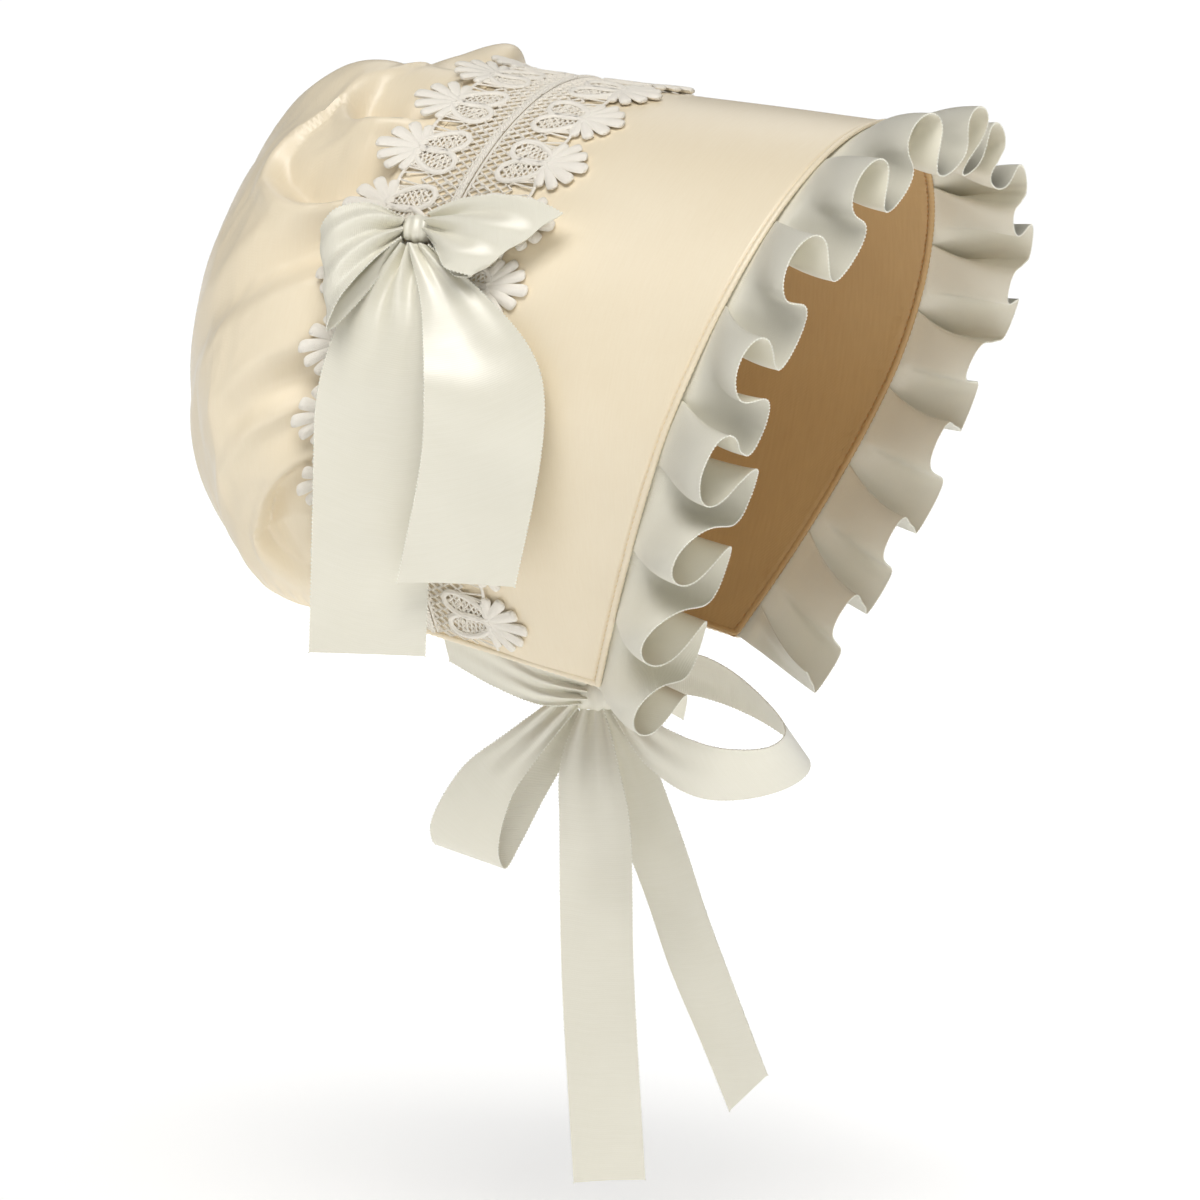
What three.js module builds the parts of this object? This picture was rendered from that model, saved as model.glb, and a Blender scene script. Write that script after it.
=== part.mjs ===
// A satin poke bonnet: a deep flared brim edged with pleated ribbon, a full gathered crown behind it,
// a band of guipure lace over the seam, a ribbon bow on the wearer's right and ties in a bow below.
// Millimetres, +Z up. The front faces -Y and the wearer's left is +X. The origin is the place inside
// the bonnet, on its middle line, that rests on top of the head.
import * as THREE from 'three';

// Thicknesses and the gap left between neighbouring pieces
const SATIN = 1.4;
const LINING = 1.0;
const LACE = 1.2;
const RIBBON = 1.0;
const GAP = 0.35;

// Height of the head seat above the lower corners of the crown seam
const SEAT_HEIGHT = 186.5;

// Arches of the rim and of the crown seam: the top, the widest place and the foot of each one, as
// distances out from the middle line, forward of the head seat and up from the lower corners
const RIM = {
  topForward: 119, topHeight: 181,
  waistOut: 89, waistForward: 85, waistHeight: 86,
  footOut: 52, footForward: 40, footHeight: -10,
};
const SEAM = {
  topForward: -20, topHeight: 191,
  waistOut: 87, waistForward: -40, waistHeight: 88,
  footOut: 54, footForward: -44, footHeight: 7,
};
const WAIST_SHARE = 0.6;
const FOOT_BEND = 1.6;

// Neck edge at the back of the crown, half a flat oval
const NECK = { halfWidth: 52, front: -66, back: -86, height: 8 };

// How far the crown's cloth runs on from the seam and comes back to the neck edge, from the middle
// line (share 0) down to the foot of the seam (share 1)
const FULLNESS = [
  { share: 0, out: 0, back: 94, up: 24, neckOut: 0, neckBack: 80, neckUp: 106 },
  { share: 0.25, out: 22, back: 80, up: 17, neckOut: 30, neckBack: 70, neckUp: 78 },
  { share: 0.5, out: 28, back: 56, up: 4, neckOut: 49, neckBack: 47, neckUp: 28 },
  { share: 0.75, out: 18, back: 28, up: -2, neckOut: 30, neckBack: 17, neckUp: 6 },
  { share: 1, out: 2, back: 8, up: 0, neckOut: 3, neckBack: -8, neckUp: 0 },
];

// Gathers of the crown behind the seam: where each one lies along the seam, half its breadth as a
// share of the seam, how deep it sinks (a roll that stands up is below zero), how far behind the seam
// it starts and how far it runs back
const GATHERS = [
  { share: -0.78, wide: 0.055, deep: 2.5, start: 0, long: 26 },
  { share: -0.66, wide: 0.055, deep: 3.5, start: 0, long: 34 },
  { share: -0.54, wide: 0.06, deep: 4.5, start: 0, long: 44 },
  { share: -0.4, wide: 0.065, deep: 6, start: 0, long: 46 },
  { share: -0.245, wide: 0.07, deep: 10, start: 0, long: 40 },
  { share: -0.105, wide: 0.06, deep: 9, start: 0, long: 34 },
  { share: 0.02, wide: 0.055, deep: 7, start: 0, long: 30 },
  { share: 0.125, wide: 0.075, deep: -12, start: 20, long: 26 },
  { share: 0.235, wide: 0.06, deep: 9, start: 0, long: 38 },
  { share: 0.37, wide: 0.065, deep: 7, start: 0, long: 44 },
  { share: 0.51, wide: 0.06, deep: 5, start: 0, long: 44 },
  { share: 0.64, wide: 0.055, deep: 3.5, start: 0, long: 34 },
  { share: 0.77, wide: 0.055, deep: 2.5, start: 0, long: 26 },
];
const GATHER_PEAK = 0.4;

// Lines across the crown between seam and neck edge, closer together where the gathers are
const CROWN_LINES = [0, 0.03, 0.064, 0.105, 0.17, 0.28, 0.42, 0.58, 0.76, 1];

// Lace galloon: how much of its width lies on the crown, its scalloped repeat, and the lines across
// its width between its rows of cells, some of which stand open
const LACE_ON_CROWN = 17;
const LACE_REPEATS = 20;
const LACE_CELLS = 5;
const LACE_SCALLOP = 8;
const LACE_LINES = [0, 15, 29, 51, 65, 80];
const LACE_LIFT = [1.1, 0.9, 0.45, 0.45, 0.45, 0.45];
const LACE_OPEN_ROWS = [1, 3];
const LACE_OPEN_CELLS = [1, 3];

// Pleated ribbon round the rim, with a row for each place where its pleats change. Number counts the
// pleats and share is where they are sewn. Out is how far off the brim the free edge lies, rise is half
// its depth, lean is how far its front folds run on along the rim, loop is how far they double back,
// slide is how far the free edge has moved along the rim, and fold is half the lap of the sewn edge
const PLEATS = [
  { number: -0.5, share: -1.04, out: 6.5, rise: 14.5, lean: -1.4, loop: 1, slide: 5, fold: -12 },
  { number: 1.5, share: -0.81, out: 9, rise: 15, lean: -1.4, loop: 1, slide: 1, fold: -12 },
  { number: 3, share: -0.643, out: 7.5, rise: 14, lean: -1.4, loop: 1, slide: -2, fold: -12 },
  { number: 3.5, share: -0.566, out: 10, rise: 11.5, lean: 1.5, loop: 1, slide: -11, fold: 12 },
  { number: 4.5, share: -0.451, out: 8, rise: 10.5, lean: 4.5, loop: 1, slide: -10, fold: 12 },
  { number: 6.5, share: -0.182, out: 4, rise: 11, lean: 4.5, loop: 1, slide: -12, fold: 12 },
  { number: 7.5, share: -0.056, out: 2, rise: 11.5, lean: 4.5, loop: 1, slide: -12, fold: 12 },
  { number: 8.5, share: 0.069, out: -3.5, rise: 11, lean: 4, loop: 0.9, slide: -7, fold: 12 },
  { number: 11, share: 0.38, out: -3, rise: 6.5, lean: 2.5, loop: 0.6, slide: -6, fold: 12 },
  { number: 12.5, share: 0.54, out: -2.5, rise: 7.5, lean: 2.5, loop: 0.6, slide: 3, fold: 12 },
  { number: 14.5, share: 0.775, out: -1, rise: 9.5, lean: 2.5, loop: 0.6, slide: 7, fold: 12 },
  { number: 17, share: 1.02, out: 0, rise: 9.5, lean: 2.5, loop: 0.6, slide: 7, fold: 12 },
];
const FIRST_PLEAT = -0.3;
const LAST_PLEAT = 16.6;
const PLEAT_STEPS = 18;
const RUFFLE_WIDTH = 32;
const LOOP_SWING = 1.88;
const HEADING = { gap: 0.6, out: -1.45, rise: 2.3, swing: 0.35 };
const CORNER_DROOP = 13;
const RIM_LENGTH = 533;

// Side bow: where its knot sits on the brim, and its ribbons' sections about the knot along the brim,
// up it and off it, with half widths and the slant of each section
const BOW_SEAT = { share: -0.38, ahead: 16 };
const BOW_KNOT = { long: 6.5, wide: 5.5, thick: 4.2 };
const BOW_LOOP_FRONT = [
  { along: 7, rise: 0.8, lift: 7.6, half: 3.6, slant: 0 },
  { along: 18, rise: 0, lift: 11, half: 11, slant: 20 },
  { along: 32, rise: -2, lift: 12.5, half: 18, slant: 40 },
  { along: 42, rise: -3.5, lift: 9, half: 18.5, slant: 46 },
  { along: 32, rise: -2, lift: 6, half: 18, slant: 40 },
  { along: 18, rise: 0.5, lift: 6, half: 11, slant: 20 },
  { along: 7, rise: 1, lift: 4.2, half: 3.6, slant: 0 },
];
const BOW_LOOP_BACK = [
  { along: -7.2, rise: -1.5, lift: 7.4, half: 3.6, slant: -10 },
  { along: -13, rise: -8, lift: 13, half: 9, slant: -20 },
  { along: -19, rise: -17, lift: 17.5, half: 14.5, slant: -22 },
  { along: -23, rise: -26, lift: 14, half: 17, slant: -22 },
  { along: -19, rise: -17.5, lift: 8.5, half: 14.5, slant: -22 },
  { along: -13, rise: -9, lift: 6, half: 9, slant: -20 },
  { along: -7.2, rise: -2.5, lift: 3.8, half: 3.6, slant: -10 },
];

// Tails of the side bow: sections out from the middle line, forward and up, each turned to the front
const BOW_TAIL_BACK = [
  { out: 80.7, forward: -16.6, height: 140.6, half: 3.6, turn: 4 },
  { out: 87, forward: -19, height: 127, half: 13, turn: 6 },
  { out: 92.5, forward: -18.5, height: 112, half: 18.5, turn: 12 },
  { out: 97, forward: -21, height: 88, half: 20, turn: 20 },
  { out: 97, forward: -22.5, height: 50, half: 20, turn: 20 },
  { out: 97, forward: -24.5, height: 3.5, half: 20, turn: 20 },
];
const BOW_TAIL_FRONT = [
  { out: 82.6, forward: -12.2, height: 141.4, half: 3.6, turn: 4 },
  { out: 88, forward: 4, height: 126, half: 12, turn: 6 },
  { out: 95.5, forward: 17, height: 111, half: 18, turn: 12 },
  { out: 101, forward: 23, height: 95, half: 20, turn: 20 },
  { out: 101, forward: 21, height: 70, half: 20, turn: 20 },
  { out: 101, forward: 9.5, height: 30, half: 20, turn: 20 },
];

// Ties: the two ribbons from inside the lower edge to the knot
const STRAP_RIGHT = [
  { out: 50, forward: -22, height: 4, half: 12, lean: 24 },
  { out: 47, forward: -6, height: -4, half: 11.5, lean: 20 },
  { out: 35, forward: 7, height: -14, half: 8, lean: 12 },
  { out: 17, forward: 14.2, height: -20, half: 4, lean: 0 },
];
const STRAP_LEFT = [
  { out: -50, forward: -22, height: 4, half: 12, lean: -24 },
  { out: -46, forward: -6, height: -4, half: 11.5, lean: -20 },
  { out: -22, forward: 5, height: -14, half: 8, lean: -12 },
  { out: 6.5, forward: 10.8, height: -20.5, half: 4, lean: 0 },
];

// Bow of the ties: sections about its knot, sideways across the bow, up, and toward its face, with the
// slant of each section in the bow's plane and how far it leans toward the face
const TIE_KNOT = { out: 10, forward: 16, height: -21, turn: 62, long: 8, wide: 6, thick: 5 };
const TIE_LOOP_RIGHT = [
  { side: -8.6, height: -1, near: 3, half: 3.6, slant: 50, depth: 0 },
  { side: -26, height: -17, near: 12, half: 7, slant: 45, depth: 0 },
  { side: -37.5, height: -29, near: 14, half: 10, slant: 33, depth: 0 },
  { side: -45, height: -47, near: 11, half: 12.4, slant: 22, depth: 0 },
  { side: -43, height: -57, near: 4, half: 12.5, slant: 20, depth: 0 },
  { side: -37, height: -48, near: -2, half: 12.4, slant: 24, depth: 0 },
  { side: -27, height: -34, near: -4, half: 10, slant: 33, depth: 0 },
  { side: -15, height: -18, near: -3, half: 7, slant: 45, depth: 0 },
  { side: -8, height: -5, near: -1.5, half: 3.6, slant: 50, depth: 0 },
];
const TIE_LOOP_LEFT = [
  { side: 7.9, height: 1.5, near: -2, half: 3.6, slant: 80, depth: 0 },
  { side: 30, height: 5, near: -11, half: 9, slant: 75, depth: -20 },
  { side: 52, height: -3, near: -12, half: 12, slant: 65, depth: -30 },
  { side: 70, height: -18, near: -3, half: 12.5, slant: 60, depth: -40 },
  { side: 62, height: -25, near: 9, half: 12.5, slant: 75, depth: -40 },
  { side: 40, height: -25.5, near: 14, half: 12, slant: 100, depth: -30 },
  { side: 21, height: -17, near: 10, half: 8, slant: 110, depth: -15 },
  { side: 8.8, height: -4, near: 3, half: 3.6, slant: 115, depth: 0 },
];
const TIE_TAIL_RIGHT = [
  { side: -1, height: -6.4, near: 2, half: 4, slant: 0, depth: 0 },
  { side: -2, height: -24, near: 7, half: 10, slant: 2, depth: 0 },
  { side: 0, height: -48, near: 8, half: 12.3, slant: 4, depth: 0 },
  { side: 1, height: -100, near: 8, half: 12.5, slant: -3, depth: 0 },
  { side: 5, height: -172, near: 8, half: 12.5, slant: -3, depth: 0 },
];
const TIE_TAIL_LEFT = [
  { side: 2, height: -6.8, near: -1.8, half: 4, slant: -20, depth: 0 },
  { side: 11, height: -26, near: -5, half: 10, slant: -20, depth: 25 },
  { side: 22, height: -58, near: -6, half: 12, slant: -19, depth: 35 },
  { side: 35, height: -96, near: -6, half: 12.5, slant: -20, depth: 40 },
  { side: 54, height: -144, near: -6, half: 12.5, slant: -20, depth: 40 },
];

// Colours and finish of each material
const FINISHES = {
  satin: { color: 0xf3e3c3, roughness: 0.45, metalness: 0 },
  lining: { color: 0xc9a878, roughness: 0.7, metalness: 0 },
  lace: { color: 0xf6efe4, roughness: 0.85, metalness: 0 },
  ribbon: { color: 0xe6e4d2, roughness: 0.38, metalness: 0 },
};

const UP = new THREE.Vector3(0, 0, 1);
const HEAD_MIDDLE = new THREE.Vector3(0, 10, -95);
const radians = THREE.MathUtils.degToRad;

// A point from its distances out to the wearer's left, forward and up from the lower corners
function place(left, forward, height) {
  return new THREE.Vector3(left, -forward, height - SEAT_HEIGHT);
}

// Every column of a table at a place along it, on a smooth curve through its rows
function readRows(rows, position) {
  const last = rows.length - 1;
  const at = THREE.MathUtils.clamp(position, 0, last);
  const first = Math.min(Math.floor(at), last - 1);
  const blend = at - first;
  const before = rows[Math.max(first - 1, 0)];
  const after = rows[Math.min(first + 2, last)];
  const values = {};
  for (const name of Object.keys(rows[0])) {
    const start = rows[first][name];
    const end = rows[first + 1][name];
    const startPull = (end - before[name]) / 2;
    const endPull = (after[name] - start) / 2;
    const bend = 2 * start - 2 * end + startPull + endPull;
    const swing = -3 * start + 3 * end - 2 * startPull - endPull;
    values[name] = ((bend * blend + swing) * blend + startPull) * blend + start;
  }
  return values;
}

// A point on an arch. Share runs from -1 at the right foot over the top to 1 at the left foot.
function archPoint(arch, share) {
  const down = Math.min(Math.abs(share), 1);
  let out;
  let height;
  if (down < WAIST_SHARE) {
    const angle = (Math.PI / 2) * (down / WAIST_SHARE);
    out = arch.waistOut * Math.sin(angle);
    height = arch.waistHeight + (arch.topHeight - arch.waistHeight) * Math.cos(angle);
  } else {
    const fall = (down - WAIST_SHARE) / (1 - WAIST_SHARE);
    out = arch.waistOut + (arch.footOut - arch.waistOut) * fall ** FOOT_BEND;
    height = arch.waistHeight + (arch.footHeight - arch.waistHeight) * fall;
  }
  const topGap = height - arch.topHeight;
  const waistGap = height - arch.waistHeight;
  const footGap = height - arch.footHeight;
  const topToWaist = arch.topHeight - arch.waistHeight;
  const topToFoot = arch.topHeight - arch.footHeight;
  const waistToFoot = arch.waistHeight - arch.footHeight;
  const forward =
    (arch.topForward * waistGap * footGap) / (topToWaist * topToFoot)
    - (arch.waistForward * topGap * footGap) / (topToWaist * waistToFoot)
    + (arch.footForward * topGap * waistGap) / (topToFoot * waistToFoot);
  return place(Math.sign(share) * out, forward, height);
}

// A point on the brim, from the seam (depth 0) to the rim (depth 1) and on past it
function brimPoint(share, depth) {
  return archPoint(SEAM, share).lerp(archPoint(RIM, share), depth);
}

// The table of fullness from one foot of the seam to the other
const FULLNESS_ROUND = [
  ...FULLNESS.slice(1).reverse().map((row) => ({ ...row, out: -row.out, neckOut: -row.neckOut })),
  ...FULLNESS,
];

// The smooth curve of the crown's cloth from the seam to the neck edge
function crownCurve(share) {
  const seam = archPoint(SEAM, share);
  const angle = (share * Math.PI) / 2;
  const neckForward = NECK.front + (NECK.back - NECK.front) * Math.cos(angle);
  const neck = place(NECK.halfWidth * Math.sin(angle), neckForward, NECK.height);
  const full = readRows(FULLNESS_ROUND, (share + 1) * (FULLNESS.length - 1));
  const leave = seam.clone().add(new THREE.Vector3(full.out, full.back, full.up));
  const arrive = neck.clone().add(new THREE.Vector3(full.neckOut, full.neckBack, full.neckUp));
  return new THREE.CubicBezierCurve3(seam, leave, arrive, neck);
}

// How deep the gathers sink at a place on the crown, a given run of cloth behind the seam
function gatherDepth(share, run) {
  let depth = 0;
  for (const gather of GATHERS) {
    const aside = Math.min(Math.abs(share - gather.share) / gather.wide, 1);
    const reach = Math.max(run - gather.start, 0) / (GATHER_PEAK * gather.long);
    depth += gather.deep * (0.5 + 0.5 * Math.cos(Math.PI * aside)) * reach * Math.exp(1 - reach);
  }
  return depth;
}

// The direction of a surface that looks away from the middle of the head
function outward(surface, u, v, step = 1e-3) {
  const across = surface(u + step, v).sub(surface(u - step, v));
  const along = surface(u, v + step).sub(surface(u, v - step));
  const normal = across.cross(along).normalize();
  const away = surface(u, v).sub(HEAD_MIDDLE);
  return normal.multiplyScalar(Math.sign(normal.dot(away)));
}

// The closed mesh of a sheet laid out in a grid of cells. Corner gives the place of a grid corner on
// the inner (0) or outer (1) face; cells that are not present are left open.
function gridSolid(columns, rows, corner, present = () => true) {
  const positions = [];
  const faces = [];
  const numbers = new Map();
  const number = (column, row, layer) => {
    const key = (column * (rows + 1) + row) * 2 + layer;
    if (!numbers.has(key)) {
      numbers.set(key, positions.length / 3);
      positions.push(...corner(column, row, layer).toArray());
    }
    return numbers.get(key);
  };
  const quad = (a, b, c, d) => faces.push(a, b, c, a, c, d);
  const wall = (c0, r0, c1, r1) => {
    quad(number(c0, r0, 0), number(c1, r1, 0), number(c1, r1, 1), number(c0, r0, 1));
  };
  const filled = (column, row) => (
    column >= 0 && row >= 0 && column < columns && row < rows && present(column, row)
  );
  for (let i = 0; i < columns; i += 1) {
    for (let j = 0; j < rows; j += 1) {
      if (!filled(i, j)) continue;
      quad(number(i, j, 1), number(i + 1, j, 1), number(i + 1, j + 1, 1), number(i, j + 1, 1));
      quad(number(i, j, 0), number(i, j + 1, 0), number(i + 1, j + 1, 0), number(i + 1, j, 0));
      if (!filled(i, j - 1)) wall(i, j, i + 1, j);
      if (!filled(i + 1, j)) wall(i + 1, j, i + 1, j + 1);
      if (!filled(i, j + 1)) wall(i + 1, j + 1, i, j + 1);
      if (!filled(i - 1, j)) wall(i, j + 1, i, j);
    }
  }
  return closed(positions, faces);
}

// A closed geometry whose faces look outward
function closed(positions, faces) {
  const corner = (index) => new THREE.Vector3().fromArray(positions, 3 * index);
  let volume = 0;
  for (let k = 0; k < faces.length; k += 3) {
    volume += corner(faces[k]).dot(corner(faces[k + 1]).cross(corner(faces[k + 2])));
  }
  const turned = volume < 0 ? faces.slice().reverse() : faces;
  const geometry = new THREE.BufferGeometry();
  geometry.setAttribute('position', new THREE.Float32BufferAttribute(positions, 3));
  geometry.setIndex(turned);
  geometry.computeVertexNormals();
  return geometry;
}

// The wall of a surface between two offsets from it
function shell(surface, columns, rows, shares, depths, innerOffset, outerOffset) {
  return gridSolid(columns, rows, (column, row, layer) => {
    const share = shares(column / columns);
    const depth = depths(row / rows);
    const offset = layer ? outerOffset : innerOffset;
    return surface(share, depth).addScaledVector(outward(surface, share, depth), offset);
  });
}

const wholeArch = (part) => 0.998 * (2 * part - 1);

// Brim and its lining
function brimGeometry() {
  return shell(brimPoint, 44, 2, wholeArch, (part) => part, -SATIN, 0);
}
function liningGeometry() {
  const depths = (part) => THREE.MathUtils.lerp(0.02, 0.985, part);
  const inner = -SATIN - GAP - LINING;
  return shell(brimPoint, 44, 1, wholeArch, depths, inner, -SATIN - GAP);
}

// The crown with its gathers
function crownSurface(share, part) {
  const curve = crownCurve(share);
  return curve.getPoint(THREE.MathUtils.clamp(part, 0, 1));
}
function crownGeometry() {
  const columns = 84;
  const rows = CROWN_LINES.length - 1;
  return gridSolid(columns, rows, (column, row, layer) => {
    const share = wholeArch(column / columns);
    const part = CROWN_LINES[row];
    const near = THREE.MathUtils.clamp(part, 0.01, 0.99);
    const run = part * crownCurve(share).getLength();
    const gap = row === 0 ? GAP : 0;
    const normal = outward(crownSurface, share, near);
    const point = crownSurface(share, part);
    point.y += gap;
    return point.addScaledVector(normal, -gatherDepth(share, run) - (layer ? 0 : SATIN));
  });
}

// The lace lies on the brim ahead of the seam and on the crown behind it
function laceBase(share, ahead) {
  if (ahead >= 0) {
    const width = archPoint(SEAM, share).distanceTo(archPoint(RIM, share));
    return brimPoint(share, ahead / width);
  }
  const curve = crownCurve(share);
  return curve.getPointAt(Math.min(-ahead / curve.getLength(), 1));
}
function laceSurface(share, ahead) {
  const ease = 5;
  const middle = laceBase(share, ahead).multiplyScalar(2);
  return middle.add(laceBase(share, ahead - ease)).add(laceBase(share, ahead + ease)).divideScalar(4);
}
function laceGeometry() {
  const columns = LACE_REPEATS * LACE_CELLS;
  const rows = LACE_LINES.length - 1;
  const scallop = (column) => LACE_SCALLOP * Math.abs(Math.cos((Math.PI * column) / LACE_CELLS)) ** 3;
  return gridSolid(columns, rows, (column, row, layer) => {
    const share = 0.985 * (2 * (column / columns) - 1);
    let line = LACE_LINES[row];
    if (row === 0) line += scallop(column);
    if (row === rows) line -= scallop(column);
    const ahead = line - LACE_ON_CROWN;
    const normal = outward(laceSurface, share, ahead, 2e-3);
    return laceSurface(share, ahead).addScaledVector(normal, LACE_LIFT[row] + layer * LACE);
  }, (column, row) => (
    !(LACE_OPEN_ROWS.includes(row) && LACE_OPEN_CELLS.includes(column % LACE_CELLS))
  ));
}

// One pleat of the ruffle: a looping line whose heading swings from side to side
function pleatLine() {
  const steps = 240;
  const line = [];
  let along = 0;
  let rise = 0;
  for (let k = 0; k <= steps; k += 1) {
    line.push({ along, rise });
    const heading = LOOP_SWING * Math.cos((2 * Math.PI * (k + 0.5)) / steps);
    along += Math.cos(heading);
    rise += Math.sin(heading);
  }
  const tallest = Math.max(...line.map((spot) => Math.abs(spot.rise)));
  return line.map((spot, k) => ({
    swing: spot.along / along - k / steps,
    rise: spot.rise / tallest,
  }));
}
const PLEAT_LINE = pleatLine();

function pleatAt(turn) {
  const next = PLEATS.findIndex((pleat) => pleat.number > turn);
  const before = PLEATS[next - 1];
  const after = PLEATS[next];
  const span = after.number - before.number;
  const row = { pitch: (RIM_LENGTH / 2) * ((after.share - before.share) / span) };
  for (const name of Object.keys(before)) {
    row[name] = THREE.MathUtils.lerp(before[name], after[name], (turn - before.number) / span);
  }
  return row;
}
function ruffleSurface(turn, reach) {
  const pleat = pleatAt(turn);
  const part = turn - Math.floor(turn);
  const spot = PLEAT_LINE[Math.round(part * (PLEAT_LINE.length - 1))];
  const freeOut = pleat.out + pleat.rise * spot.rise;
  const out = THREE.MathUtils.lerp(HEADING.out + HEADING.rise * spot.rise, freeOut, reach);
  const lean = THREE.MathUtils.lerp(pleat.fold * spot.rise, pleat.lean * spot.rise + pleat.slide, reach);
  const swing = THREE.MathUtils.lerp(HEADING.swing, pleat.loop, reach) * spot.swing * pleat.pitch;
  const share = pleat.share + (2 * (swing + lean)) / RIM_LENGTH;
  const inside = THREE.MathUtils.clamp(share, -0.999, 0.999);
  const ahead = brimPoint(inside, 1).sub(brimPoint(inside, 0)).normalize();
  const along = brimPoint(inside + 1e-3, 1).sub(brimPoint(inside - 1e-3, 1)).normalize();
  const outside = ahead.clone().cross(along).normalize();
  const droop = radians(CORNER_DROOP) * THREE.MathUtils.smoothstep(Math.abs(inside), 0.6, 1);
  const length = reach * Math.sqrt(RUFFLE_WIDTH ** 2 - freeOut ** 2);
  const point = brimPoint(inside, 1).addScaledVector(ahead, HEADING.gap + length * Math.cos(droop));
  point.addScaledVector(along, Math.sign(inside) * length * Math.sin(droop));
  point.addScaledVector(along, ((share - inside) * RIM_LENGTH) / 2);
  return point.addScaledVector(outside, out);
}
function ruffleGeometry() {
  const columns = Math.round((LAST_PLEAT - FIRST_PLEAT) * PLEAT_STEPS);
  return gridSolid(columns, 1, (column, reach, layer) => {
    const turn = THREE.MathUtils.lerp(FIRST_PLEAT, LAST_PLEAT, column / columns);
    const before = ruffleSurface(turn - 0.02, reach);
    const along = ruffleSurface(turn + 0.02, reach).sub(before);
    const ahead = ruffleSurface(turn, 1).sub(ruffleSurface(turn, 0));
    const normal = along.cross(ahead).normalize();
    return ruffleSurface(turn, reach).addScaledVector(normal, (layer - 0.5) * RIBBON);
  });
}

// A flat ribbon through sections that each have a middle, a direction across and a half width
function ribbonGeometry(rows, section, stepsPerRow = 3) {
  const columns = (rows.length - 1) * stepsPerRow;
  const middle = (position) => section(readRows(rows, position)).middle;
  return gridSolid(columns, 2, (column, row, layer) => {
    const position = column / stepsPerRow;
    const here = section(readRows(rows, position));
    const ahead = middle(Math.min(position + 0.05, rows.length - 1));
    const along = ahead.sub(middle(Math.max(position - 0.05, 0))).normalize();
    const normal = along.cross(here.across).normalize();
    const point = here.middle.clone().addScaledVector(here.across, (row - 1) * here.half);
    return point.addScaledVector(normal, (layer - 0.5) * RIBBON);
  });
}

// A soft knot: a squared ball, longer across the bow
function knotGeometry(size, matrix) {
  const ball = new THREE.SphereGeometry(1, 10, 7);
  const spots = ball.getAttribute('position');
  for (let k = 0; k < spots.count; k += 1) {
    const spot = new THREE.Vector3().fromBufferAttribute(spots, k);
    const square = (value) => Math.sign(value) * Math.abs(value) ** 0.75;
    spots.setXYZ(k, square(spot.x) * size.long, square(spot.y) * size.wide, square(spot.z) * size.thick);
  }
  return ball.applyMatrix4(matrix);
}

// The side bow's own axes, on the face of the lace
function bowFrame() {
  const origin = laceSurface(BOW_SEAT.share, BOW_SEAT.ahead);
  const off = outward(laceSurface, BOW_SEAT.share, BOW_SEAT.ahead, 2e-3);
  origin.addScaledVector(off, LACE_LIFT[3] + LACE);
  const before = laceSurface(BOW_SEAT.share, BOW_SEAT.ahead + 1);
  const along = before.sub(laceSurface(BOW_SEAT.share, BOW_SEAT.ahead - 1)).normalize();
  const rise = off.clone().cross(along).normalize();
  rise.multiplyScalar(Math.sign(rise.z));
  return { origin, along, rise, off };
}
function bowSection(row) {
  const frame = bowFrame();
  const middle = frame.origin.clone().addScaledVector(frame.along, row.along);
  middle.addScaledVector(frame.rise, row.rise).addScaledVector(frame.off, row.lift);
  const across = frame.rise.clone().multiplyScalar(Math.cos(radians(row.slant)));
  across.addScaledVector(frame.along, Math.sin(radians(row.slant)));
  return { middle, across, half: row.half };
}
function bowKnotGeometry() {
  const frame = bowFrame();
  const matrix = new THREE.Matrix4().makeBasis(frame.along, frame.rise, frame.off);
  const middle = frame.origin.clone().addScaledVector(frame.off, BOW_KNOT.thick + 0.4);
  return knotGeometry(BOW_KNOT, matrix.setPosition(middle));
}

// Sections of the side bow's tails and of the straps
function tailSection(row) {
  const turn = radians(row.turn);
  const across = new THREE.Vector3(Math.sin(turn), -Math.cos(turn), 0);
  return { middle: place(-row.out, row.forward, row.height), across, half: row.half };
}
function strapSection(row) {
  const across = new THREE.Vector3(-Math.sin(radians(row.lean)), 0, Math.cos(radians(row.lean)));
  return { middle: place(-row.out, row.forward, row.height), across, half: row.half };
}

// Sections of the bow of the ties
function tieFrame() {
  const turn = radians(TIE_KNOT.turn);
  return {
    origin: place(-TIE_KNOT.out, TIE_KNOT.forward, TIE_KNOT.height),
    side: new THREE.Vector3(Math.cos(turn), -Math.sin(turn), 0),
    near: new THREE.Vector3(-Math.sin(turn), -Math.cos(turn), 0),
  };
}
function tieSection(row) {
  const frame = tieFrame();
  const middle = frame.origin.clone().addScaledVector(frame.side, row.side);
  middle.addScaledVector(frame.near, row.near).addScaledVector(UP, row.height);
  const flat = Math.cos(radians(row.depth));
  const across = frame.side.clone().multiplyScalar(flat * Math.cos(radians(row.slant)));
  across.addScaledVector(UP, -flat * Math.sin(radians(row.slant)));
  across.addScaledVector(frame.near, Math.sin(radians(row.depth)));
  return { middle, across, half: row.half };
}
function tieKnotGeometry() {
  const frame = tieFrame();
  const matrix = new THREE.Matrix4().makeBasis(frame.side, UP, frame.near);
  return knotGeometry(TIE_KNOT, matrix.setPosition(frame.origin));
}

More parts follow.
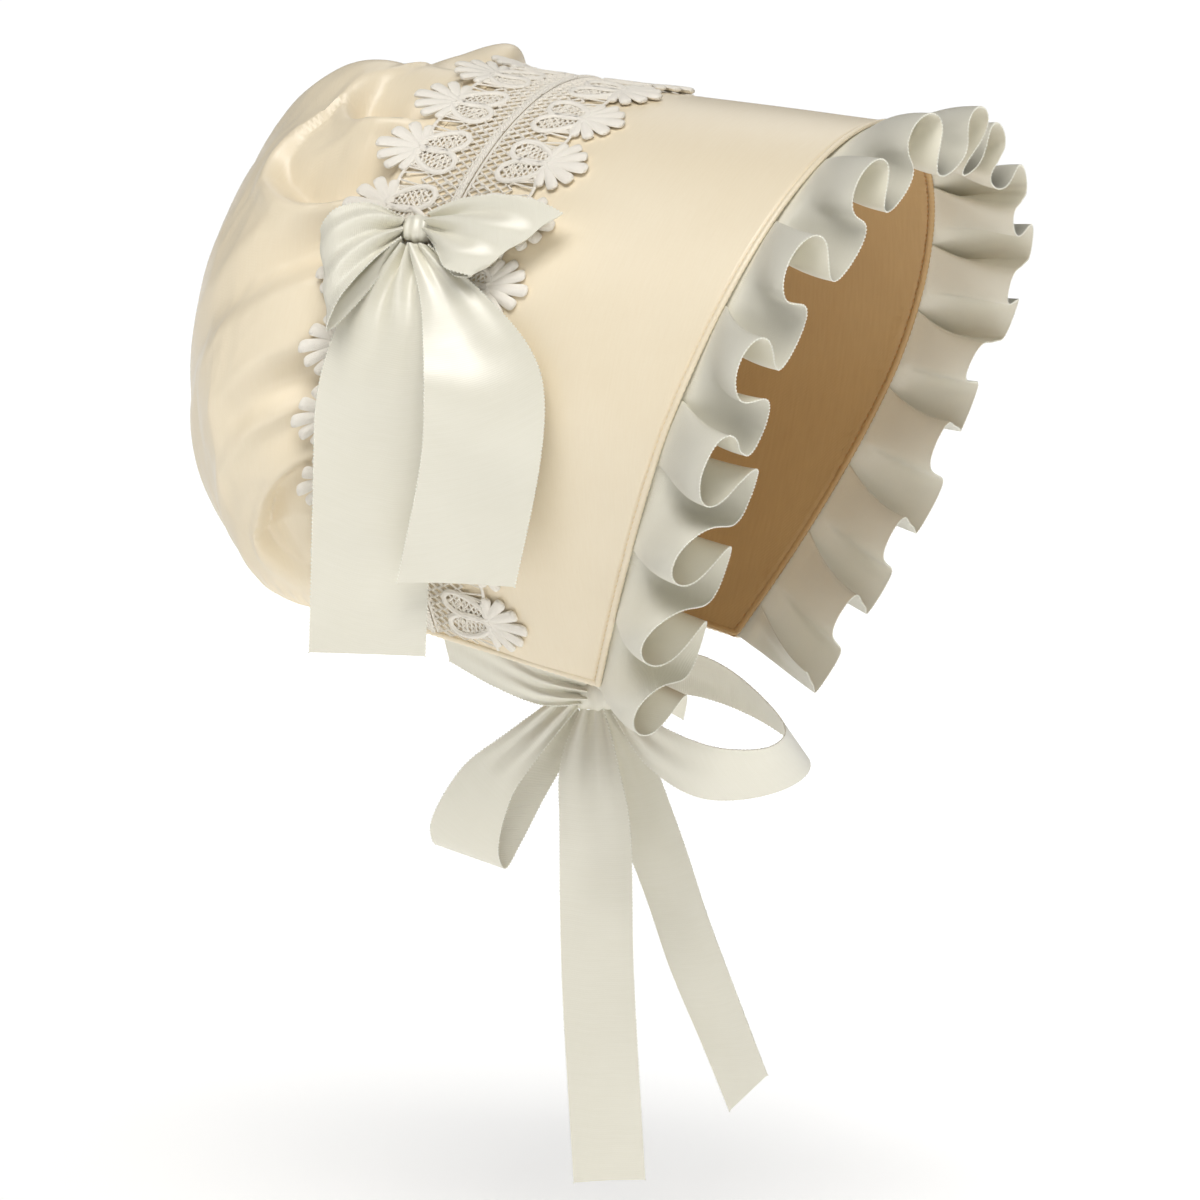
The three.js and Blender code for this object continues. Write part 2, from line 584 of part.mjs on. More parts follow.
const PIECES = [
  ['crown', 'satin', crownGeometry()],
  ['brim', 'satin', brimGeometry()],
  ['brim_lining', 'lining', liningGeometry()],
  ['lace_band', 'lace', laceGeometry()],
  ['ruffle', 'ribbon', ruffleGeometry()],
  ['bow_knot', 'ribbon', bowKnotGeometry()],
  ['bow_loop_front', 'ribbon', ribbonGeometry(BOW_LOOP_FRONT, bowSection)],
  ['bow_loop_back', 'ribbon', ribbonGeometry(BOW_LOOP_BACK, bowSection)],
  ['bow_tail_back', 'ribbon', ribbonGeometry(BOW_TAIL_BACK, tailSection)],
  ['bow_tail_front', 'ribbon', ribbonGeometry(BOW_TAIL_FRONT, tailSection)],
  ['tie_strap_right', 'ribbon', ribbonGeometry(STRAP_RIGHT, strapSection)],
  ['tie_strap_left', 'ribbon', ribbonGeometry(STRAP_LEFT, strapSection)],
  ['tie_knot', 'ribbon', tieKnotGeometry()],
  ['tie_loop_right', 'ribbon', ribbonGeometry(TIE_LOOP_RIGHT, tieSection)],
  ['tie_loop_left', 'ribbon', ribbonGeometry(TIE_LOOP_LEFT, tieSection)],
  ['tie_tail_right', 'ribbon', ribbonGeometry(TIE_TAIL_RIGHT, tieSection)],
  ['tie_tail_left', 'ribbon', ribbonGeometry(TIE_TAIL_LEFT, tieSection)],
];

const group = new THREE.Group();
group.name = 'poke_bonnet';
for (const [name, finish, geometry] of PIECES) {
  const material = new THREE.MeshStandardMaterial(FINISHES[finish]);
  material.name = finish;
  const mesh = new THREE.Mesh(geometry, material);
  mesh.name = name;
  group.add(mesh);
}

export default group;
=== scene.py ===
"""Looks of a satin poke bonnet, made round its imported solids.

Each piece of cloth, lace or ribbon is made again as the thin sheet that it is, with its folds, weave,
stitches and edges, in the place of the solid that it stands for. Sizes are millimetres in the part's own
frame: +Z up, the front faces -Y, the wearer's left is +X and the origin is the seat on top of the head.
"""

import logging
import math
from collections.abc import Callable, Sequence
from dataclasses import dataclass, field
from enum import Enum

import bpy
import numpy as np
from mathutils import Matrix, Vector


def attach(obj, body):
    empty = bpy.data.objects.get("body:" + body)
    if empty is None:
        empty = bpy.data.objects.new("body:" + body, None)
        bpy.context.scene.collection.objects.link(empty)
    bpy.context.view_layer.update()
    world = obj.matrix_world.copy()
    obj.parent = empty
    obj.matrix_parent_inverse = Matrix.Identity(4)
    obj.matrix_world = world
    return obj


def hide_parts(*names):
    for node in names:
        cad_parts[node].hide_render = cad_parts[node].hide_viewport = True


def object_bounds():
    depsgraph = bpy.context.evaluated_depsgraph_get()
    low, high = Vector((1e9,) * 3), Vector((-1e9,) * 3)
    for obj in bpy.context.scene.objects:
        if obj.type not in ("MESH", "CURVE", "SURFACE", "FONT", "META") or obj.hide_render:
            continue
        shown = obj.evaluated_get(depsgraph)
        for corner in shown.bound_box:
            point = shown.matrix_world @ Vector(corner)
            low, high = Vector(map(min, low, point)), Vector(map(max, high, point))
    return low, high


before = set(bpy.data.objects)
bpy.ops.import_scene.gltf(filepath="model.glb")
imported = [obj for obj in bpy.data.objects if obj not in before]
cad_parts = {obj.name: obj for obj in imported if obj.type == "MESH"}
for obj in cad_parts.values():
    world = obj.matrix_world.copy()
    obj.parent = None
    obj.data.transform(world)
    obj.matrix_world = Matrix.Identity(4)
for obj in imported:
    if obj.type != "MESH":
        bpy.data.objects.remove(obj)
cad_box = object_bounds()

LOG = logging.getLogger("bonnet")
Array = np.ndarray

MM = 0.001
BODY = "root"
SEED = 23
SEAT_HEIGHT = 186.5
HEAD_MIDDLE = np.array([0.0, 10.0, -95.0])
UP = np.array([0.0, 0.0, 1.0])
CLOTH_MAP = "cloth"
LIE = "lie"
REVERSE_SHIFT = 1.0
PICOT_PITCH = 1.27
PICOT = (0.42, 0.36, 0.36)
SMOOTH_ANGLE = math.radians(62)
FINE_STEPS = 801
WHOLE_ARCH = 0.998
RIM_LENGTH = 533.0


class Slot(Enum):
    """The record's material slots."""

    SATIN = "satin"
    LINING = "lining"
    LACE = "lace"
    RIBBON = "ribbon"


class Hold(Enum):
    """How a sheet of cloth is held."""

    GATHERED = "gathered"
    STRETCHED = "stretched"
    LAID = "laid"
    FOLDED = "folded"
    HUNG = "hung"


# Numbers and points


def place(left: Array, forward: Array, height: Array) -> Array:
    """Points from distances to the wearer's left, forward and up from the bonnet's lower corners."""
    parts = np.broadcast_arrays(np.asarray(left, float), -np.asarray(forward, float), height - SEAT_HEIGHT)
    return np.stack(parts, axis=-1)


def unit(vectors: Array) -> Array:
    """Vectors of length one."""
    return vectors / np.maximum(np.linalg.norm(vectors, axis=-1, keepdims=True), 1e-12)


def smooth(value: Array, low: float, high: float) -> Array:
    """A soft step from 0 at low to 1 at high."""
    share = np.clip((value - low) / (high - low), 0, 1)
    return share * share * (3 - 2 * share)


def blend(first: Array, second: Array, share: Array) -> Array:
    """A value between two others."""
    return first + (second - first) * share


def read_rows(rows: Array, position: Array) -> Array:
    """Reads a table between its rows, on a smooth curve through them.

    Args:
        rows: The table, one row for each section.
        position: Where to read it, counted in rows.

    Returns:
        The columns of the table at each position.
    """
    last = len(rows) - 1
    at = np.clip(np.asarray(position, float), 0, last)
    first = np.minimum(np.floor(at).astype(int), last - 1)
    share = (at - first)[..., None]
    start, end = rows[first], rows[first + 1]
    start_pull = (end - rows[np.maximum(first - 1, 0)]) / 2
    end_pull = (rows[np.minimum(first + 2, last)] - start) / 2
    bend = 2 * start - 2 * end + start_pull + end_pull
    swing = -3 * start + 3 * end - 2 * start_pull - end_pull
    return ((bend * share + swing) * share + start_pull) * share + start


def runs(points: Array, axis: int = 0) -> Array:
    """Lengths along lines of points, from the start of each line.

    Args:
        points: Lines of points.
        axis: The axis that they follow.

    Returns:
        The length at each point.
    """
    steps = np.linalg.norm(np.diff(points, axis=axis), axis=-1)
    padding = [(0, 0)] * steps.ndim
    padding[axis] = (1, 0)
    return np.pad(np.cumsum(steps, axis=axis), padding)


def grid_normals(points: Array) -> Array:
    """Directions off a grid of points, from its first axis across to its second.

    Args:
        points: A grid of points.

    Returns:
        A direction at each point.
    """
    along = np.gradient(points, axis=0)
    across = np.gradient(points, axis=1)
    return unit(np.cross(along, across))


def soft_noise(shape: tuple[int, int], cells: tuple[int, int], seed: int) -> Array:
    """Smooth random waves over a grid.

    Args:
        shape: Size of the grid.
        cells: Number of waves along each axis.
        seed: Seed of the random heights.

    Returns:
        Heights of about -1 to 1 on the grid.
    """
    heights = np.random.default_rng(seed).uniform(-1, 1, (cells[0] + 1, cells[1] + 1))
    rows = read_rows(heights, np.linspace(0, cells[0], shape[0]))
    return read_rows(rows.T, np.linspace(0, cells[1], shape[1])).T


Surface = Callable[[Array, Array], Array]


def outward(surface: Surface, first: Array, second: Array, step: float = 1e-3) -> Array:
    """Directions off a surface, away from the middle of the head.

    Args:
        surface: The surface, by two coordinates.
        first: The first coordinates.
        second: The second coordinates.
        step: How far apart the slopes are read.

    Returns:
        A direction at each place.
    """
    along = surface(first + step, second) - surface(first - step, second)
    across = surface(first, second + step) - surface(first, second - step)
    normal = unit(np.cross(along, across))
    away = surface(first, second) - HEAD_MIDDLE
    return normal * np.sign(np.sum(normal * away, axis=-1, keepdims=True))


# The form that the cloth follows


@dataclass(frozen=True)
class Arch:
    """An arch of the bonnet by its top, its widest place and its foot."""

    top_forward: float
    top_height: float
    waist_out: float
    waist_forward: float
    waist_height: float
    foot_out: float
    foot_forward: float
    foot_height: float
    waist_share: float = 0.6
    foot_bend: float = 1.6

    def at(self, share: Array) -> Array:
        """Points of the arch, from share -1 at the right foot over the top to 1 at the left foot.

        Args:
            share: Places along the arch.

        Returns:
            A point at each place.
        """
        share = np.asarray(share, float)
        down = np.minimum(np.abs(share), 1)
        upper = down < self.waist_share
        angle = math.pi / 2 * np.minimum(down / self.waist_share, 1)
        fall = np.maximum(down - self.waist_share, 0) / (1 - self.waist_share)
        out_low = self.waist_out + (self.foot_out - self.waist_out) * fall**self.foot_bend
        out = np.where(upper, self.waist_out * np.sin(angle), out_low)
        high = self.waist_height + (self.top_height - self.waist_height) * np.cos(angle)
        low = self.waist_height + (self.foot_height - self.waist_height) * fall
        height = np.where(upper, high, low)
        return place(np.sign(share) * out, self.forward(height), height)

    def forward(self, height: Array) -> Array:
        """How far forward the arch is at a height, on a curve through its three places.

        Args:
            height: Heights on the arch.

        Returns:
            Distances forward.
        """
        top, waist, foot = self.top_height, self.waist_height, self.foot_height
        from_top, from_waist, from_foot = height - top, height - waist, height - foot
        return (
            self.top_forward * from_waist * from_foot / ((top - waist) * (top - foot))
            - self.waist_forward * from_top * from_foot / ((top - waist) * (waist - foot))
            + self.foot_forward * from_top * from_waist / ((top - foot) * (waist - foot))
        )


@dataclass(frozen=True)
class BonnetForm:
    """The smooth surfaces of the brim, the crown and the lace band over their seam."""

    rim: Arch = Arch(119, 181, 89, 85, 86, 52, 40, -10)
    seam: Arch = Arch(-20, 191, 87, -40, 88, 54, -44, 7)
    neck_half_width: float = 52
    neck_front: float = -66
    neck_back: float = -86
    neck_height: float = 8
    lace_ease: float = 5
    curve_steps: int = 160
    # How the crown leaves the seam (out, back, up) and comes to the neck edge (out, back, up), in even
    # steps from the middle line to the foot of the seam
    fullness: tuple[tuple[float, ...], ...] = (
        (0, 94, 24, 0, 80, 106),
        (22, 80, 17, 30, 70, 78),
        (28, 56, 4, 49, 47, 28),
        (18, 28, -2, 30, 17, 6),
        (2, 8, 0, 3, -8, 0),
    )

    def brim(self, share: Array, depth: Array) -> Array:
        """Points of the brim from the seam (depth 0) to the rim (depth 1)."""
        depth = np.asarray(depth, float)[..., None]
        return blend(self.seam.at(share), self.rim.at(share), depth)

    def brim_width(self, share: Array) -> Array:
        """Width of the brim from the seam to the rim."""
        return np.linalg.norm(self.rim.at(share) - self.seam.at(share), axis=-1)

    def crown(self, share: Array, run: Array) -> Array:
        """Points of the smooth crown at lengths of cloth behind the seam.

        Args:
            share: Places along the seam.
            run: Lengths of cloth behind it.

        Returns:
            A point at each place.
        """
        share, run = np.broadcast_arrays(np.asarray(share, float), np.asarray(run, float))
        curve = self.crown_curve(share.ravel())
        lengths = runs(curve, axis=1)
        points = [
            [np.interp(want, length, line[:, k]) for k in range(3)]
            for want, length, line in zip(run.ravel(), lengths, curve)
        ]
        return np.array(points).reshape(*share.shape, 3)

    def crown_curve(self, share: Array) -> Array:
        """The lines of the crown's cloth from the seam to the neck edge.

        Args:
            share: Places along the seam, in one row.

        Returns:
            A line of points for each place.
        """
        rows = np.array(self.fullness, float)
        mirror = np.array([-1, 1, 1, -1, 1, 1])
        rows = np.concatenate([rows[:0:-1] * mirror, rows])
        full = read_rows(rows, (share + 1) * (len(self.fullness) - 1))
        seam = self.seam.at(share)
        angle = share * math.pi / 2
        forward = blend(self.neck_front, self.neck_back, np.cos(angle))
        neck = place(self.neck_half_width * np.sin(angle), forward, self.neck_height)
        leave, arrive = seam + full[:, :3], neck + full[:, 3:]
        t = np.linspace(0, 1, self.curve_steps)[None, :, None]
        corners = (seam[:, None], leave[:, None], arrive[:, None], neck[:, None])
        weights = ((1 - t) ** 3, 3 * (1 - t) ** 2 * t, 3 * (1 - t) * t**2, t**3)
        return sum(corner * weight for corner, weight in zip(corners, weights))

    def lace_base(self, share: Array, ahead: Array) -> Array:
        """Points ahead of the seam on the brim, or behind it on the crown where ahead is below zero.

        Args:
            share: Places along the seam.
            ahead: Lengths of cloth ahead of it.

        Returns:
            A point at each place.
        """
        share, ahead = np.broadcast_arrays(np.asarray(share, float), np.asarray(ahead, float))
        front = self.brim(share, np.maximum(ahead, 0) / self.brim_width(share))
        behind = self.crown(share, np.maximum(-ahead, 0))
        return np.where((ahead >= 0)[..., None], front, behind)

    def lace(self, share: Array, ahead: Array) -> Array:
        """Points of the lace's under side, eased over the seam.

        Args:
            share: Places along the seam.
            ahead: Lengths of cloth ahead of it.

        Returns:
            A point at each place.
        """
        ease = self.lace_ease
        around = self.lace_base(share, ahead - ease) + self.lace_base(share, ahead + ease)
        return (2 * self.lace_base(share, ahead) + around) / 4


FORM = BonnetForm()


def even_shares(surface: Surface, level: float, count: int, limit: float) -> Array:
    """Places along a surface that lie at even lengths of cloth.

    Args:
        surface: The surface, by place along it and level.
        level: The level at which the lengths are even.
        count: Number of places.
        limit: The last place on either side.

    Returns:
        The places, from -limit to limit.
    """
    share = np.linspace(-limit, limit, FINE_STEPS)
    length = runs(surface(share, np.full(share.shape, level)))
    return np.interp(np.linspace(0, length[-1], count), length, share)


# Node trees


class Value:
    """A socket's number, so that sums in a node tree are written as plain expressions."""

    def __init__(self, graph: "Graph", socket: bpy.types.NodeSocket) -> None:
        """Keeps the tree and the socket."""
        self.graph = graph
        self.socket = socket

    def math(self, operation: str, *others: "Value | float") -> "Value":
        """The result of a Math node on this number and others."""
        inputs = dict(enumerate((self, *others)))
        return self.graph.value("ShaderNodeMath", {"operation": operation}, inputs)

    def kept_inside(self, margin: float = 0.0005) -> "Value":
        """This value kept between 0 and 1, a little inside both."""
        return self.math("MAXIMUM", margin).math("MINIMUM", 1 - margin)

    def __add__(self, other: "Value | float") -> "Value":
        """This number and another."""
        return self.math("ADD", other)

    def __mul__(self, other: "Value | float") -> "Value":
        """This number times another."""
        return self.math("MULTIPLY", other)

    def __sub__(self, other: "Value | float") -> "Value":
        """This number less another."""
        return self.math("SUBTRACT", other)

    def __rsub__(self, other: float) -> "Value":
        """Another number less this one."""
        return self * -1.0 + other

    def __gt__(self, other: "Value | float") -> "Value":
        """1 where this number is above another, and else 0."""
        return self.math("GREATER_THAN", other)

    __radd__ = __add__
    __rmul__ = __mul__


class Graph:
    """A node tree whose nodes all come from one method."""

    def __init__(self, tree: bpy.types.NodeTree) -> None:
        """Keeps the tree."""
        self.tree = tree

    def node(self, kind: str, settings: dict | None = None, inputs: dict | None = None) -> bpy.types.Node:
        """Adds a node.

        Args:
            kind: The node's type.
            settings: Its own settings, set before its sockets.
            inputs: Values or links of its sockets, by name or number.

        Returns:
            The new node.
        """
        made = self.tree.nodes.new(kind)
        for name, value in (settings or {}).items():
            setattr(made, name, value)
        for key, value in (inputs or {}).items():
            source = value.socket if isinstance(value, Value) else value
            if isinstance(source, bpy.types.NodeSocket):
                self.tree.links.new(source, made.inputs[key])
            else:
                made.inputs[key].default_value = source
        return made

    def value(
        self, kind: str, settings: dict | None = None, inputs: dict | None = None, output: int = 0
    ) -> Value:
        """Adds a node and gives one of its outputs as a number."""
        return Value(self, self.node(kind, settings, inputs).outputs[output])

    def mix(self, share: Value, first: Sequence[float] | Value, second: Sequence[float] | Value) -> Value:
        """A colour between two others."""
        colours = {0: share, 6: first, 7: second}
        return self.value("ShaderNodeMix", {"data_type": "RGBA"}, colours, output=2)


def linear(colour: tuple[int, int, int]) -> tuple[float, float, float, float]:
    """A shader's colour from the red, green and blue of a picture, each 0 to 255."""
    shares = [part / 255 for part in colour]
    return (*(s / 12.92 if s <= 0.04045 else ((s + 0.055) / 1.055) ** 2.4 for s in shares), 1.0)


# Finishes


def new_material(name: str) -> tuple[bpy.types.Material, Graph, bpy.types.Node]:
    """A material with its tree and its one shader.

    Args:
        name: Its name.

    Returns:
        The material, its tree and its shader.
    """
    material = bpy.data.materials.new(name)
    material.use_nodes = True
    graph = Graph(material.node_tree)
    return material, graph, material.node_tree.nodes["Principled BSDF"]


@dataclass(frozen=True)
class ClothFinish:
    """A woven satin: its colours, its gloss and its threads."""

    name: str
    colour: tuple[int, int, int]
    deep_colour: tuple[int, int, int]
    roughness: float
    slub_length: float
    slub_width: float
    slub_depth: float = 0.05
    reverse_roughness: float = 0.6
    sheen: float = 0.15
    sheen_roughness: float = 0.45
    rib_pitch: float = 0.5
    rib_depth: float = 0.01
    reverse_rib: float = 0.02
    tone_scale: float = 26.0
    tone_share: float = 0.55
    slub_share: float = 0.35
    rib_share: float = 0.05
    gloss_spread: float = 0.1
    relief: float = 0.6
    index: float = 1.6
    specular: float = 0.6

    def material(self) -> bpy.types.Material:
        """Builds the finish on the cloth's own map, which is in metres along and across the cloth.

        Returns:
            The material.
        """
        made, graph, shader = new_material(self.name)
        cloth = graph.node("ShaderNodeUVMap", {"uv_map": CLOTH_MAP})
        parts = graph.node("ShaderNodeSeparateXYZ", None, {0: cloth.outputs[0]})
        along, across = Value(graph, parts.outputs[0]), Value(graph, parts.outputs[1])
        reverse = across > REVERSE_SHIFT / 2
        rib = (along * (2 * math.pi / (self.rib_pitch * MM))).math("SINE")
        slub_place = graph.node(
            "ShaderNodeCombineXYZ",
            None,
            {0: along * (1 / (self.slub_length * MM)), 1: across * (1 / (self.slub_width * MM))},
        )
        slub = graph.value(
            "ShaderNodeTexNoise",
            {"noise_dimensions": "2D"},
            {"Vector": slub_place.outputs[0], "Scale": 1.0, "Detail": 2.0},
        )
        place_in_piece = graph.node("ShaderNodeTexCoord").outputs["Object"]
        tone = graph.value(
            "ShaderNodeTexNoise", None, {"Vector": place_in_piece, "Scale": self.tone_scale, "Detail": 2.0}
        )
        shade = tone * self.tone_share + slub * self.slub_share + rib * self.rib_share
        colour = graph.mix(shade, linear(self.colour), linear(self.deep_colour))
        graph.tree.links.new(colour.socket, shader.inputs["Base Color"])
        gloss = reverse * (self.reverse_roughness - self.roughness) + slub * self.gloss_spread
        gloss = gloss + (self.roughness - self.gloss_spread / 2)
        graph.tree.links.new(gloss.socket, shader.inputs["Roughness"])
        ribbing = rib * (reverse * (self.reverse_rib - self.rib_depth) + self.rib_depth)
        height = ribbing + slub * self.slub_depth
        bump = graph.node(
            "ShaderNodeBump", None, {"Height": height, "Strength": self.relief, "Distance": MM}
        )
        graph.tree.links.new(bump.outputs[0], shader.inputs["Normal"])
        shader.inputs["Sheen Weight"].default_value = self.sheen
        shader.inputs["Sheen Roughness"].default_value = self.sheen_roughness
        shader.inputs["IOR"].default_value = self.index
        shader.inputs["Specular IOR Level"].default_value = self.specular
        return made


@dataclass(frozen=True)
class ThreadFinish:
    """Matt cotton thread, worked close: its colours and the size of its stitches."""

    name: str
    colour: tuple[int, int, int]
    deep_colour: tuple[int, int, int]
    grain: float
    relief: float
    roughness: float = 0.8
    tone_scale: float = 90.0
    tone_share: float = 0.4
    twist_share: float = 0.5
    gloss_spread: float = 0.2
    bump: float = 0.7
    sheen: float = 0.15
    specular: float = 0.25

    def material(self) -> bpy.types.Material:
        """Builds the finish on the piece's own place.

        Returns:
            The material.
        """
        made, graph, shader = new_material(self.name)
        place_in_piece = graph.node("ShaderNodeTexCoord").outputs["Object"]
        twist = graph.value(
            "ShaderNodeTexNoise",
            None,
            {"Vector": place_in_piece, "Scale": 1 / (self.grain * MM), "Detail": 3.0, "Roughness": 0.6},
        )
        tone = graph.value(
            "ShaderNodeTexNoise", None, {"Vector": place_in_piece, "Scale": self.tone_scale, "Detail": 1.0}
        )
        shade = twist * self.twist_share + tone * self.tone_share
        colour = graph.mix(shade, linear(self.colour), linear(self.deep_colour))
        graph.tree.links.new(colour.socket, shader.inputs["Base Color"])
        rough = twist * self.gloss_spread + (self.roughness - self.gloss_spread / 2)
        graph.tree.links.new(rough.socket, shader.inputs["Roughness"])
        bump = graph.node(
            "ShaderNodeBump", None, {"Height": twist, "Strength": self.bump, "Distance": self.relief * MM}
        )
        graph.tree.links.new(bump.outputs[0], shader.inputs["Normal"])
        shader.inputs["Sheen Weight"].default_value = self.sheen
        shader.inputs["Specular IOR Level"].default_value = self.specular
        return made


SATIN = ClothFinish(
    name="cream_satin",
    colour=(246, 234, 209),
    deep_colour=(237, 221, 190),
    roughness=0.4,
    slub_length=9,
    slub_width=0.7,
    sheen=0.2,
)
# Painted shade: the lining's tan and deeper tan are the cream satin as it looks in the shade inside the
# bonnet
LINING = ClothFinish(
    name="lining_in_painted_shade",
    colour=(199, 164, 110),
    deep_colour=(175, 138, 86),
    roughness=0.5,
    slub_length=12,
    slub_width=0.9,
)
RIBBON = ClothFinish(
    name="ivory_ribbon",
    colour=(236, 233, 219),
    deep_colour=(225, 221, 203),
    roughness=0.34,
    slub_length=0.9,
    slub_width=14,
    slub_depth=0.012,
    reverse_roughness=0.42,
    rib_pitch=0.75,
    rib_depth=0.012,
    reverse_rib=0.06,
    specular=0.7,
)
LACE_THREAD = ThreadFinish("white_lace_thread", (255, 251, 242), (246, 239, 226), 0.35, 0.5)
SEWING_THREAD = ThreadFinish("cream_thread", (246, 231, 200), (232, 210, 168), 0.3, 0.15)
# Painted shade: the lining thread's tan is cream thread as it looks in the shade inside the bonnet
LINING_THREAD = ThreadFinish("lining_thread_in_painted_shade", (204, 158, 104), (182, 134, 84), 0.3, 0.15)
EDGE_THREAD = ThreadFinish("ivory_thread", (246, 245, 236), (236, 233, 218), 0.3, 0.12, 0.6)


class Finishes:
    """Each finish's material, made once."""

    def __init__(self) -> None:
        """Builds every material."""
        self.satin = SATIN.material()
        self.lining = LINING.material()
        self.ribbon = RIBBON.material()
        self.lace = LACE_THREAD.material()
        self.sewing = SEWING_THREAD.material()
        self.lining_thread = LINING_THREAD.material()
        self.edge = EDGE_THREAD.material()


# Meshes


def linked(name: str, data: bpy.types.ID) -> bpy.types.Object:
    """An object at the origin, linked to the scene.

    Args:
        name: Its name.
        data: Its mesh, light or camera.

    Returns:
        The object.
    """
    made = bpy.data.objects.new(name, data)
    bpy.context.scene.collection.objects.link(made)
    return made


def grid_faces(rows: int, columns: int) -> Array:
    """The four corners of each face of a grid of points.

    Args:
        rows: Points along the first axis.
        columns: Points along the second.

    Returns:
        Four corners for each face.
    """
    index = np.arange(rows * columns).reshape(rows, columns)
    corners = (index[:-1, :-1], index[1:, :-1], index[1:, 1:], index[:-1, 1:])
    return np.stack(corners, axis=-1).reshape(-1, 4)


def set_map(mesh: bpy.types.Mesh, spots: Array, order: Array) -> None:
    """Gives a mesh its map of the cloth.

    Args:
        mesh: The mesh.
        spots: The place of each point on the map.
        order: The point at each corner of the faces.
    """
    layer = mesh.uv_layers.new(name=CLOTH_MAP)
    layer.data.foreach_set("uv", spots[order].astype(np.float32).ravel())


def mesh_object(name: str, points: Array, faces: Array, material: bpy.types.Material) -> bpy.types.Object:
    """A smooth mesh object at the origin.

    Args:
        name: Name of the piece.
        points: Its corners, in millimetres.
        faces: The corners of each face.
        material: Its finish.

    Returns:
        The object, linked to the scene.
    """
    mesh = bpy.data.meshes.new(name)
    mesh.from_pydata((points * MM).tolist(), [], faces.tolist() if isinstance(faces, Array) else faces)
    mesh.shade_smooth()
    mesh.set_sharp_from_angle(angle=SMOOTH_ANGLE)
    mesh.materials.append(material)
    return linked(name, mesh)


def shell(
    name: str, points: Array, low: float, high: float, material: bpy.types.Material
) -> bpy.types.Object:
    """The closed wall of a sheet of cloth, with a map of its threads.

    Args:
        name: Name of the piece.
        points: The sheet as a grid of points.
        low: Where the reverse lies, off the grid along its normals.
        high: Where the face lies.
        material: Its finish.

    Returns:
        The piece.
    """
    rows, columns = points.shape[:2]
    count = rows * columns
    normals = grid_normals(points)
    corners = np.concatenate([points + high * normals, points + low * normals]).reshape(-1, 3)
    index = np.arange(count).reshape(rows, columns)
    face = grid_faces(rows, columns)
    reverse = face[:, [0, 3, 2, 1]] + count
    border = np.concatenate([index[:-1, 0], index[-1, :-1], index[:0:-1, -1], index[0, :0:-1]])
    after = np.roll(border, -1)
    rim = np.stack([after, border, border + count, after + count], axis=-1)
    faces = np.concatenate([face, reverse, rim])
    made = mesh_object(name, corners, faces, material)
    along, across = runs(points, axis=0), runs(points, axis=1)
    front = np.stack([along, across], axis=-1).reshape(-1, 2) * MM
    spots = np.concatenate([front, front + [0, REVERSE_SHIFT]])
    set_map(made.data, spots, faces.ravel())
    return made


def facing_out(points: Array) -> Array:
    """A grid turned so that its normals look away from the middle of the head."""
    away = np.sum(grid_normals(points) * (points - HEAD_MIDDLE), axis=-1)
    return points if away.mean() > 0 else points[::-1]


@dataclass
class Threads:
    """Many round threads that are gathered into one mesh."""

    corners: list[Array] = field(default_factory=list)
    faces: list[list[int]] = field(default_factory=list)
    count: int = 0

    def add(self, path: Array, radius: Array | float, off: Array, sides: int = 6, flat: float = 1,
            closed: bool = False) -> None:
        """Adds a thread along a path.

        Args:
            path: The points that it follows.
            radius: Its radius, alone or for each point.
            off: The direction in which it is flattened, alone or for each point.
            sides: Number of its sides.
            flat: Its height as a share of its breadth.
            closed: Whether it joins up with its start.
        """
        steps = len(path)
        along = np.roll(path, -1, axis=0) - np.roll(path, 1, axis=0) if closed else np.gradient(path, axis=0)
        side = unit(np.cross(off, unit(along)))
        lift = unit(np.cross(unit(along), side))
        angle = np.linspace(0, 2 * math.pi, sides, endpoint=False)[None, :, None]
        radius = np.broadcast_to(radius, steps)[:, None, None]
        ring = side[:, None] * np.cos(angle) + lift[:, None] * np.sin(angle) * flat
        self.corners.append((path[:, None] + ring * radius).reshape(-1, 3))
        for step in range(steps if closed else steps - 1):
            here, there = self.count + step * sides, self.count + (step + 1) % steps * sides
            for k in range(sides):
                after = (k + 1) % sides
                self.faces.append([here + k, here + after, there + after, there + k])
        if not closed:
            self.faces.append([self.count + k for k in reversed(range(sides))])
            self.faces.append([self.count + (steps - 1) * sides + k for k in range(sides)])
        self.count += steps * sides

    def piece(self, name: str, material: bpy.types.Material) -> bpy.types.Object:
        """All the threads as one piece."""
        return mesh_object(name, np.concatenate(self.corners), self.faces, material)


def polyline_object(name: str, lines: Sequence[Array]) -> bpy.types.Object:
    """An object of bare edges along lines of points, for a node tree to work on.

    Args:
        name: Its name.
        lines: The lines, in millimetres.

    Returns:
        The object.
    """
    mesh = bpy.data.meshes.new(name)
    points = np.concatenate(lines) * MM
    edges = []
    start = 0
    for line in lines:
        edges += [(start + k, start + k + 1) for k in range(len(line) - 1)]
        start += len(line)
    mesh.from_pydata(points.tolist(), edges, [])
    return linked(name, mesh)


def seat(piece: bpy.types.Object, stands_for: Sequence[str] = ()) -> bpy.types.Object:
    """Sets a finished piece on the bonnet's body and the solids that it stands for.

    Args:
        piece: The piece.
        stands_for: Names of the solids.

    Returns:
        The same piece.
    """
    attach(piece, BODY)
    if stands_for:
        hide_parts(*stands_for)
    LOG.info("%s: %d faces", piece.name, len(piece.data.polygons))
    return piece


# Geometry Nodes


